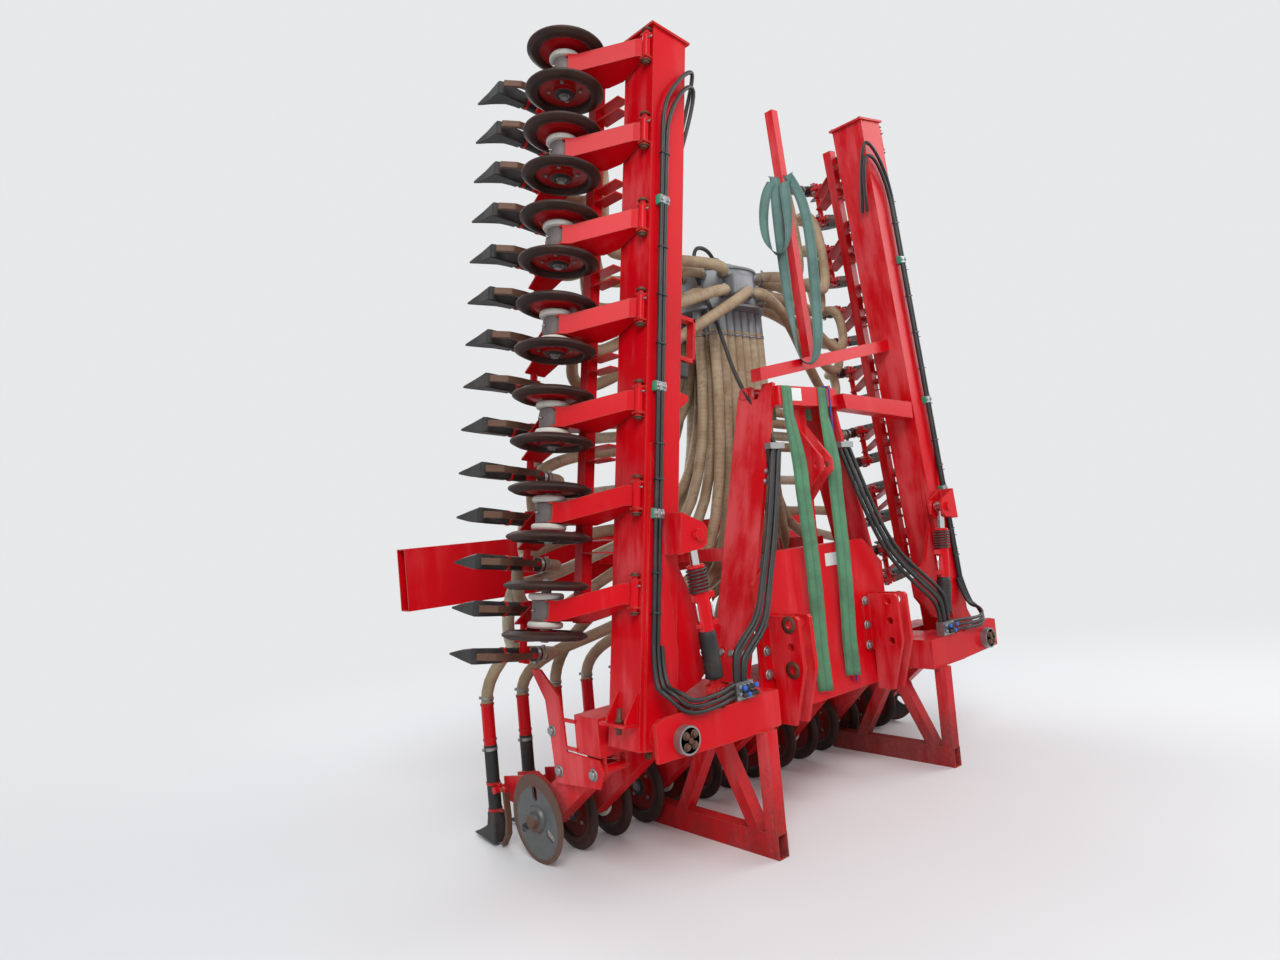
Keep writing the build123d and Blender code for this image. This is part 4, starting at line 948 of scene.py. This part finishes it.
class INJECTOR_OT_slings(bpy.types.Operator):
    """Hangs the two lifting slings and the rope over the headstock, and the straps on the pole"""

    bl_idname = "injector.slings"
    bl_label = "Slings and rope"

    def strip(self, lines, width, thick, name, body, rest):
        """A band of webbing between lines that run side by side, grown from its own first edge."""
        bm = bmesh.new()
        layer = bm.loops.layers.uv.new("along")
        first = [bm.verts.new(line[0]) for line in lines]
        edges = [bm.edges.new(pair) for pair in zip(first, first[1:])]
        places = {vert: (0.0, k) for k, vert in enumerate(first)}
        middle, run = lines[len(lines) // 2], 0.0
        for n in range(1, len(middle)):
            run += (middle[n] - middle[n - 1]).length
            grown = bmesh.ops.extrude_edge_only(bm, edges=edges)["geom"]
            edges = [e for e in grown if isinstance(e, bmesh.types.BMEdge)
                     and not any(v in places for v in e.verts)]
            fresh = {}
            for vert in distinct(v for e in edges for v in e.verts):
                before = [e.other_vert(vert) for e in vert.link_edges if e.other_vert(vert) in places][0]
                fresh[vert] = (run, places[before][1])
                vert.co = lines[places[before][1]][n]
            places.update(fresh)
        for face in bm.faces:
            face.smooth = True
            for corner in face.loops:
                along, column = places[corner.vert]
                corner[layer].uv = (along, column * width / (len(lines) - 1))
        bmesh.ops.recalc_face_normals(bm, faces=bm.faces)
        bmesh.ops.solidify(bm, geom=bm.faces, thickness=thick)
        bmesh.ops.recalc_face_normals(bm, faces=bm.faces)
        piece = new_piece(name, bm, ["sling" if body == "frame" else "strap"], body, ())
        return piece

    def ribbon(self, points, width, thick, sway, name):
        """A flat sling along a route, its width along X, which sways a little where it hangs."""
        line = route_line(points, 12)
        lines = [[] for _ in range(5)]
        for n, point in enumerate(line):
            hang = min(max((1.80 - point.z) / 0.25, 0.0), 1.0) if point.y < line[0].y - 0.05 else 0.0
            twist = hang * (0.62 + sway * math.sin(3.1 * point.z + 0.6))
            along = (line[min(n + 1, len(line) - 1)] - line[max(n - 1, 0)]).normalized()
            across = Vector((math.cos(twist), -abs(math.sin(twist)), 0))
            across = (across - along * across.dot(along)).normalized()
            base = point + Vector((0, -hang * (0.026 + 0.008 * abs(math.sin(4.3 * point.z))), 0))
            for k in range(5):
                lines[k].append(base + across * width * (k / 4 - 0.5))
        return self.strip(lines, width, thick, name, "frame", "headstock")

    def loop(self, steps, name):
        """A strap loop that hangs from the pole, from steps of (right, back, z, turn of its width)."""
        width, thick = 0.050, 0.0025
        lines = []
        for share in (-0.5, -0.25, 0.0, 0.25, 0.5):
            points = []
            for right, back, z, turn in steps:
                out = right + math.cos(turn) * width * 1000 * share
                deep = back + math.sin(turn) * width * 1000 * share
                points.append(at(61 + 0.629 * out + 0.777 * deep, 80 - 0.777 * out + 0.629 * deep, z))
            lines.append(route_line(points, 10))
        self.strip(lines, width, thick, name, "left_wing", "hose_guide")

    def pole_straps(self):
        """The long and the short strap loop on the hose guide's pole."""
        half = math.pi / 2
        long_loop = [(44, 46, 3000, 1.2), (-56, 22, 3005, 0.9), (-30, -44, 2985, 0.3), (-38, -50, 2880, 0.1),
                     (-36, -54, 2700, -0.1), (-26, -58, 2400, 0.0), (-14, -56, 2200, half * 0.8),
                     (-4, -54, 2090, half * 0.9), (30, -52, 2048, half), (72, -52, 2056, half * 0.6),
                     (100, -54, 2160, 0.3), (106, -54, 2400, 0.0), (108, -54, 2680, 0.1),
                     (88, -50, 2850, 0.0), (46, -46, 2950, -0.3), (26, -44, 2990, -0.6), (50, 20, 3010, -1.2)]
        self.loop(long_loop, "pole_strap_long")
        short_loop = [(48, 52, 2960, 1.2), (-62, 26, 2965, 0.9), (-44, -60, 2962, 0.3), (-82, -66, 2900, 0.2),
                      (-108, -72, 2780, 0.5), (-104, -76, 2660, 0.8), (-70, -78, 2590, half),
                      (-20, -78, 2592, half), (8, -76, 2680, half * 0.6), (14, -72, 2800, 0.3),
                      (8, -66, 2900, 0.1), (10, -62, 2958, -0.3), (58, 16, 2962, -1.2)]
        self.loop(short_loop, "pole_strap_short")

    def headstock_slings(self, width):
        """Two flat slings over the headstock's top box, which stand in for those of the solids."""
        lift = 2.55
        top = 1935 + lift
        made = []
        for x_top, x_low, low in ((-165, -135, 530), (105, 88, 560)):
            points = [(x_top, 100 + lift, top - 148), (x_top, 100 + lift, top - 20), (x_top, 100 + lift, top),
                      (x_top, 80, top), (x_top, 20, top), (x_top, -lift, top), (x_top, -lift - 1, top - 20),
                      (x_top, -lift - 2, top - 120), (0.4 * x_top + 0.6 * x_low, -lift - 5, 1200),
                      (x_low, -lift - 3, low + 140), (x_low, -lift - 1, low)]
            route = [at(*p) for p in points]
            made.append(self.ribbon(route, width, 0.0032, 0.14, "lifting_sling_%d" % len(made)))
        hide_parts("lifting_slings")

    def thin_rope(self):
        """The blue rope beside the right sling."""
        points = [at(150, 60, 1941), at(150, 28, 1942), at(150, -10, 1941), at(149, -12, 1891),
                  at(142, -13, 520)]
        curve = nurbs(points, 0.004, 2, 10)
        curve.materials.append(finish("rope"))
        rope = bpy.data.objects.new("thin_rope", curve)
        bpy.context.scene.collection.objects.link(rope)
        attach(rope, "frame")
        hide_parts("rope")
        line = route_line(points, 10)

    def execute(self, context):
        self.pole_straps()
        self.headstock_slings(context.scene.injector.sling_width)
        self.thin_rope()
        return {"FINISHED"}


class INJECTOR_OT_row_trim(bpy.types.Operator):
    """Adds bearing sleeves, pin heads and bolts to every arm"""

    bl_idname = "injector.row_trim"
    bl_label = "Arm trim"

    def sleeve(self, bm, place):
        """The dirty bearing housing with its grease nipple."""
        outline = [(-0.0385, 0.030), (-0.0385, 0.0515), (-0.036, 0.0535), (0.036, 0.0535), (0.0385, 0.0515),
                   (0.0385, 0.030)]
        spun(bm, outline, 28, 0, place)
        nipple = place @ shift(0, 0, -0.053) @ rotated(90, "Y")
        nose = [(0, 0), (0, 0.006), (0.006, 0.006), (0.008, 0.003), (0.014, 0.003), (0.014, 0)]
        spun(bm, nose, 8, 1, nipple)

    def execute(self, context):
        frame_bm = bmesh.new()
        for k in [k for k in CENTRE_AXLES if k]:
            self.sleeve(frame_bm, Matrix.Translation(at(k * ROW_PITCH, *CENTRE_AXLE)))
            side = 1 if k > 0 else -1
            pivot = at(k * ROW_PITCH - side * CRANK, 190, 435)
            for turn in (0, 180):
                hex_bolt(frame_bm, Matrix.Translation(pivot) @ rotated(turn, "Z")
                         @ shift(0.0685, 0, 0), 0.026, 0.010, True, 2)
        new_piece("centre_arm_trim", turned_right(frame_bm), ["housing", "steel", "rusty_steel"], "frame", ())
        flip = rotated(180, "Z")
        for side, label in SIDES:
            bm = bmesh.new()
            for i in range(WING_ARMS):
                s = TOP_ARM_S - 2 * ROW_PITCH * i
                self.sleeve(bm, wing_matrix(side, s - CRANK, *WING_AXLE))
                hex_bolt(bm, wing_matrix(side, s + 68.5, 0, PIN_H), 0.028, 0.011, True, 2)
                hex_bolt(bm, wing_matrix(side, s - 68.5, 0, PIN_H) @ flip, 0.028, 0.011, True, 2)
                for row in (0, ROW_PITCH):
                    place = wing_matrix(side, s - CRANK - row, 545, PIN_H - 112)
                    rounded_box(bm, (0.070, 0.030, 0.014), place, 0.002, 3)
                    for ds in (-22, 22):
                        place = wing_matrix(side, s - CRANK - row + ds, 545, PIN_H - 105)
                        hex_bolt(bm, place @ rotated(-90, "Y"), 0.014, 0.010, True, 1)
                nipple = wing_matrix(side, s + 30, -16, PIN_H) @ rotated(-90, "Z")
                spun(bm, [(0, 0), (0, 0.006), (0.008, 0.003), (0.016, 0.003), (0.016, 0)], 8, 1, nipple)
            new_piece("arm_trim_" + label, turned_right(bm), ["housing", "steel", "rusty_steel", "red_arms"],
                      label + "_wing", ())
        return {"FINISHED"}


class INJECTOR_OT_frame_trim(bpy.types.Operator):
    """Adds the frame's hanger plates, couplings, bolts and blank plates, and the distributor's trim"""

    bl_idname = "injector.frame_trim"
    bl_label = "Frame trim"

    def hanger(self, bm, side):
        """The plate at the rear beam's end that carries the outermost arm, with its bolts."""
        outline = [(597, 800), (505, 677), (484, 500), (470, 345), (183, 370), (150, 440), (176, 480),
                   (381, 486), (389, 618), (404, 700), (520, 800)]
        points = [(y / 1000, z / 1000) for y, z in outline]
        x = 1281 if side > 0 else -1291
        prism(bm, points, 0.010, flat_x(x), 0.002, 0)
        out = rotated(0 if side > 0 else 180, "Z")
        for y, z in ((213, 421), (470, 557), (440, 400)):
            hex_bolt(bm, Matrix.Translation(at(side * 1291, y, z)) @ out, 0.032, 0.014, True, 3)
        for z in (500, 610):
            rounded_box(bm, (0.012, 0.070, 0.014), Matrix.Translation(at(side * 1286, 348, z)), 0.002, 0)

    def couplings(self, bm, side):
        """Hydraulic couplings with dust caps on the front of a hose block."""
        socket = [(0, 0), (0, 0.0095), (0.010, 0.0095), (0.012, 0.0075), (0.022, 0.0075), (0.022, 0)]
        lid = [(0.020, 0), (0.020, 0.0105), (0.033, 0.0105), (0.035, 0.008), (0.035, 0)]
        for n in range(4):
            x = side * (755 + 22 * n)
            for row, z in enumerate((696, 668)):
                place = lay_along((0, -1, 0), at(x, -150, z))
                spun(bm, socket, 12, 1, place)
                spun(bm, lid, 12, 2 if (n + row) % 3 == 0 else 5, place)

    def distributor(self, bm):
        """The bolts and rings of the distributor's round housing."""
        upright = rotated(-90, "Y")
        for k in range(12):
            angle = math.radians(30 * k + 15)
            x, y = 190 * math.cos(angle), DIST_Y + 190 * math.sin(angle)
            hex_bolt(bm, Matrix.Translation(at(x, y, 2613)) @ upright, 0.018, 0.010, True, 3)
        down = rotated(90, "Y")
        for z in (2412, 2598):
            spun(bm, section(-0.006, 0.006, 0.233, 0.243), 48, 7, Matrix.Translation(at(0, DIST_Y, z)) @ down)

    def plate(self, bm, corners, thick, place, edge, material):
        """An upright blank plate, from its corners (left, low, right, high) in metres."""
        left, low, right, high = corners
        prism(bm, [(left, low), (right, low), (right, high), (left, high)], thick, place, edge, material)

    def execute(self, context):
        bm = bmesh.new()
        for side, _ in SIDES:
            self.hanger(bm, side)
            self.couplings(bm, side)
            out = rotated(0 if side > 0 else 180, "Z")
            for x in (300, 460):
                for z in (664, 764, 880):
                    hex_bolt(bm, lay_along((0, -1, 0), at(side * x, 8, z)), 0.030, 0.012, True, 3)
            for z in (685, 877):
                ring = [(0, 0.019), (0, 0.036), (0.003, 0.038), (0.003, 0.019)]
                spun(bm, ring, 24, 4, Matrix.Translation(at(side * 430, -102, z)) @ out)
            hub = lay_along((0, -1, 0), at(side * HINGE[0], -188, HINGE[1]))
            spun(bm, [(0, 0), (0, 0.047), (0.004, 0.050), (0.006, 0.050), (0.008, 0.046), (0.008, 0)], 32, 4,
                 hub @ shift(-0.008, 0, 0))
            for k in range(4):
                turn = rotated(45 + 90 * k, "X")
                hex_bolt(bm, hub @ turn @ shift(0, 0, 0.028), 0.020, 0.012, True, 4)
            hex_bolt(bm, hub, 0.022, 0.006, False, 4)
            for y in (75, 135, 195):
                hex_bolt(bm, Matrix.Translation(at(side * 548, y, 760)) @ out, 0.026, 0.010, True, 3)
            for z, x in ((1500, 334), (1545, 321)):
                hex_bolt(bm, lay_along((0, -1, 0), at(side * x, 30, z)), 0.018, 0.008, True, 3)
            rounded_box(bm, (0.030, 0.016, 0.120), Matrix.Translation(at(side * 300, 22, 1600)), 0.002, 5)
        self.plate(bm, (0.056, 1.866, 0.126, 1.926), 0.002, flat_y(-1, 0), 0.0005, 6)
        self.plate(bm, (0.030, 1.080, 0.190, 1.140), 0.0015, flat_y(1, 20), 0.0005, 6)
        rounded_box(bm, (0.130, 0.075, 0.110), Matrix.Translation(at(-60, 318, 2500)), 0.010, 7)
        self.plate(bm, (-0.006, 2.455, 0.114, 2.545), 0.003, flat_y(-1, 281), 0.001, 7)
        self.distributor(bm)
        mats = ["red_frame", "zinc", "blue_cap", "steel", "rusty_steel", "rubber", "plate", "zinc"]
        new_piece("frame_trim", turned_right(bm), mats, "frame", ())
        return {"FINISHED"}


class INJECTOR_OT_wing_trim(bpy.types.Operator):
    """Adds the stop brackets, rest brackets, cap bolts and gussets of the wings' beams"""

    bl_idname = "injector.wing_trim"
    bl_label = "Wing trim"

    def brackets(self, side):
        """The foot bracket with its gussets and bolt, the rest bracket, the tab and the end cap's bolts."""
        bm = bmesh.new()
        rounded_box(bm, (0.012, 0.150, 0.066), wing_matrix(side, 36, 60, -135), 0.002, 0)
        gusset = [(0.042, -0.102), (0.150, -0.102), (0.150, -0.112), (0.060, -0.160), (0.042, -0.160)]
        for y in (-4, 104):
            prism(bm, gusset, 0.008, wing_matrix(side, 0, y, 0) @ UPRIGHT, 0.001, 0)
        spun(bm, section(-0.035, 0.060, 0, 0.010), 12, 1, wing_matrix(side, 36, 50, -138))
        for s in (43, 20):
            hex_bolt(bm, wing_matrix(side, s, 50, -138), 0.030, 0.014, False, 1)
        if side < 0:
            for size, s, h in (((0.018, 0.040, 0.082), 1474, 119), ((0.018, 0.040, 0.082), 1646, 119),
                               ((0.190, 0.040, 0.014), 1560, 154)):
                rounded_box(bm, size, wing_matrix(side, s, -5, h), 0.002, 0)
            rounded_box(bm, (0.060, 0.034, 0.050), wing_matrix(side, 1430, -4, 104), 0.004, 2)
        tab = [(1.250, 0.078), (1.310, 0.150), (1.330, 0.150), (1.345, 0.078)]
        prism(bm, tab, 0.010, wing_matrix(side, 0, 10, 0) @ UPRIGHT, 0.001, 0)
        for y in (-20, 150):
            for h in (-105, 81):
                hex_bolt(bm, wing_matrix(side, 2867.75, y, h), 0.016, 0.006, True, 3)
        return turned_right(bm)

    def lock(self, side, place):
        """The rubber boot of a fold cylinder with the bars and rods of its lock."""
        bm = bmesh.new()
        boot = [(0.050, 0.0), (0.050, 0.030)]
        for n in range(9):
            boot += [(0.055 + 0.020 * n, 0.0375), (0.065 + 0.020 * n, 0.034)]
        boot += [(0.240, 0.033), (0.240, 0.0)]
        spun(bm, boot, 24, 0, place)
        front = 1 if (place.to_3x3() @ Vector((0, 1, 0))).x * side < 0 else -1
        for size, along, out in (((0.026, 0.104, 0.030), 0.372, 0.012),
                                 ((0.020, 0.100, 0.028), 0.262, 0.011)):
            rounded_box(bm, size, place @ shift(along, out * front, 0), 0.003, 1)
        for y in (-0.040, 0.040):
            rod = place @ shift(0, y + 0.010 * front, 0)
            spun(bm, section(0.250, 0.384, 0, 0.006), 12, 2, rod)
        band(bm, place @ shift(0.492, 0, 0), 0.0325, 0.012, 0.004, 1, False)
        return turned_right(bm)

    def spring(self, place):
        """The coil round the upper end of a fold cylinder's barrel."""
        turns, steps, first, last, reach = 7, 12, 0.390, 0.487, 0.0395
        coil = []
        for n in range(turns * steps + 1):
            angle = 2 * math.pi * n / steps
            along = first + (last - first) * n / (turns * steps)
            coil.append(place @ Vector((along, reach * math.cos(angle), reach * math.sin(angle))))
        return hose_mesh([coil], 0.0045, 1, 2)

    def execute(self, context):
        for side, label in SIDES:
            new_piece("wing_trim_" + label, self.brackets(side), ["red", "rusty_steel", "rubber", "steel"],
                      label + "_wing", ())
            foot, eye = Vector((side * 0.880, 0, 0.690)), Vector((side * 0.947, 0, 1.304))
            start = Vector((foot.x, (-82 - ORIGIN_Y) / 1000, foot.z))
            place = lay_along((eye - foot).normalized(), start, (0, 1, 0))
            new_piece("cylinder_lock_" + label, self.lock(side, place), ["rubber", "red", "chrome"],
                      label + "_barrel", ())
            new_piece("lock_spring_" + label, self.spring(place), ["spring"], label + "_barrel", ())
        return {"FINISHED"}


class INJECTOR_OT_studio(bpy.types.Operator):
    """Sets the floor, the soft lamps and the camera"""

    bl_idname = "injector.studio"
    bl_label = "Studio"

    def lay_floor(self):
        """A pale floor that keeps the shadow and fades into the backdrop far from the object."""
        floor = bmesh.new()
        bmesh.ops.create_grid(floor, x_segments=1, y_segments=1, size=30.0)
        sheet = new_piece("studio_floor", floor, [], None)
        pale = Finish("pale_floor", 0.85)
        grain = pale.noise(1.5, 3)
        pale.set(Base_Color=pale.mix(grain * 0.2, (0.77, 0.77, 0.765), (0.72, 0.72, 0.715)))
        reach = pale.node("ShaderNodeVectorMath", {"operation": "LENGTH"}, {0: pale.place()}, "Value")
        far = pale.node("ShaderNodeEmission", {}, {"Color": BACKDROP, "Strength": 1.0})
        seen_by = [pale.node("ShaderNodeLightPath", output=name)
                   for name in ("Is Camera Ray", "Is Glossy Ray", "Is Transmission Ray")]
        seen_by = (seen_by[0] + seen_by[1] + seen_by[2]).at_most(1.0)
        fade = pale.node("ShaderNodeMixShader", {}, {0: reach.step(2.0, 6.5) * seen_by})
        blend = fade.socket.node
        pale.tree.links.new(pale.shader.outputs[0], blend.inputs[1])
        pale.tree.links.new(far.socket, blend.inputs[2])
        pale.tree.links.new(blend.outputs[0], pale.tree.nodes["Material Output"].inputs["Surface"])
        sheet.data.materials.append(pale.material)

    def light_world(self, scene):
        """A pale sky that lights the object, with the backdrop's colour where it is seen or mirrored."""
        world = bpy.data.worlds.new("pale_world")
        world.use_nodes = True
        tree = world.node_tree
        ground = tree.nodes["Background"]
        ground.inputs["Color"].default_value = (0.80, 0.84, 0.90, 1)
        ground.inputs["Strength"].default_value = 0.62
        seen = tree.nodes.new("ShaderNodeBackground")
        seen.inputs["Color"].default_value = BACKDROP
        path = tree.nodes.new("ShaderNodeLightPath")
        pick = tree.nodes.new("ShaderNodeMixShader")
        both = tree.nodes.new("ShaderNodeMath")
        every = tree.nodes.new("ShaderNodeMath")
        every.use_clamp = True
        tree.links.new(path.outputs["Is Camera Ray"], both.inputs[0])
        tree.links.new(path.outputs["Is Glossy Ray"], both.inputs[1])
        tree.links.new(both.outputs[0], every.inputs[0])
        tree.links.new(path.outputs["Is Transmission Ray"], every.inputs[1])
        tree.links.new(every.outputs[0], pick.inputs[0])
        tree.links.new(ground.outputs[0], pick.inputs[1])
        tree.links.new(seen.outputs[0], pick.inputs[2])
        tree.links.new(pick.outputs[0], tree.nodes["World Output"].inputs[0])
        scene.world = world

    def hang_lamps(self, scene):
        """Three soft lamps that look at the object's middle."""
        for name, place, size, power in (("key", (-4.5, -5.5, 6.5), 4.0, 420),
                                         ("side", (5.5, -3.5, 4.5), 4.0, 190),
                                         ("back", (0.5, 6.0, 6.0), 5.0, 220)):
            lamp = bpy.data.lights.new(name, "AREA")
            lamp.size = size
            lamp.energy = power
            holder = bpy.data.objects.new(name, lamp)
            holder.location = place
            holder.rotation_euler = (Vector((0, 0, 1.5)) - Vector(place)).to_track_quat("-Z", "Y").to_euler()
            scene.collection.objects.link(holder)

    def set_camera(self, scene):
        """The photo's camera, as it was fitted to measured points."""
        yaw, pitch, roll = 0.7222, 0.0439, -0.0895
        right = Vector((math.cos(yaw), -math.sin(yaw), 0))
        level = Vector((math.sin(yaw), math.cos(yaw), 0))
        ahead = level * math.cos(pitch) + Vector((0, 0, math.sin(pitch)))
        above = Vector((0, 0, math.cos(pitch))) - level * math.sin(pitch)
        across = right * math.cos(roll) + above * math.sin(roll)
        up = above * math.cos(roll) - right * math.sin(roll)
        lens = bpy.data.cameras.new("photo_camera")
        lens.lens = 23.57
        lens.sensor_width = 36.0
        lens.clip_end = 100
        camera = bpy.data.objects.new("photo_camera", lens)
        camera.matrix_world = shift(-3.2391, -2.9899, 1.3915) @ Matrix(
            (across, up, -ahead)).transposed().to_4x4()
        scene.collection.objects.link(camera)
        scene.camera = camera

    def execute(self, context):
        scene = context.scene
        self.lay_floor()
        self.light_world(scene)
        self.hang_lamps(scene)
        self.set_camera(scene)
        scene.view_settings.view_transform = "Standard"
        return {"FINISHED"}


class INJECTOR_PT_panel(bpy.types.Panel):
    """Lists the steps that dress the injector"""

    bl_label = "Slurry injector"
    bl_idname = "INJECTOR_PT_panel"
    bl_space_type = "VIEW_3D"
    bl_region_type = "UI"
    bl_category = "Injector"

    def draw(self, context):
        column = self.layout.column()
        for step in STEPS:
            column.operator(step.bl_idname)
        for name in InjectorSizes.__annotations__:
            column.prop(context.scene.injector, name)


STEPS = (
    INJECTOR_OT_finishes,
    INJECTOR_OT_studio,
    INJECTOR_OT_slings,
    INJECTOR_OT_slurry_hoses,
    INJECTOR_OT_hydraulic_hoses,
    INJECTOR_OT_shoes,
    INJECTOR_OT_wheels,
    INJECTOR_OT_row_trim,
    INJECTOR_OT_wing_trim,
    INJECTOR_OT_frame_trim,
)
CLASSES = (InjectorSizes, *STEPS, INJECTOR_PT_panel)


def register():
    for cls in CLASSES:
        bpy.utils.register_class(cls)
    bpy.types.Scene.injector = PointerProperty(type=InjectorSizes)


def unregister():
    del bpy.types.Scene.injector
    for cls in reversed(CLASSES):
        bpy.utils.unregister_class(cls)


def main():
    register()
    for step in STEPS:
        group, name = step.bl_idname.split(".")
        getattr(getattr(bpy.ops, group), name)()


if __name__ == "__main__":
    main()
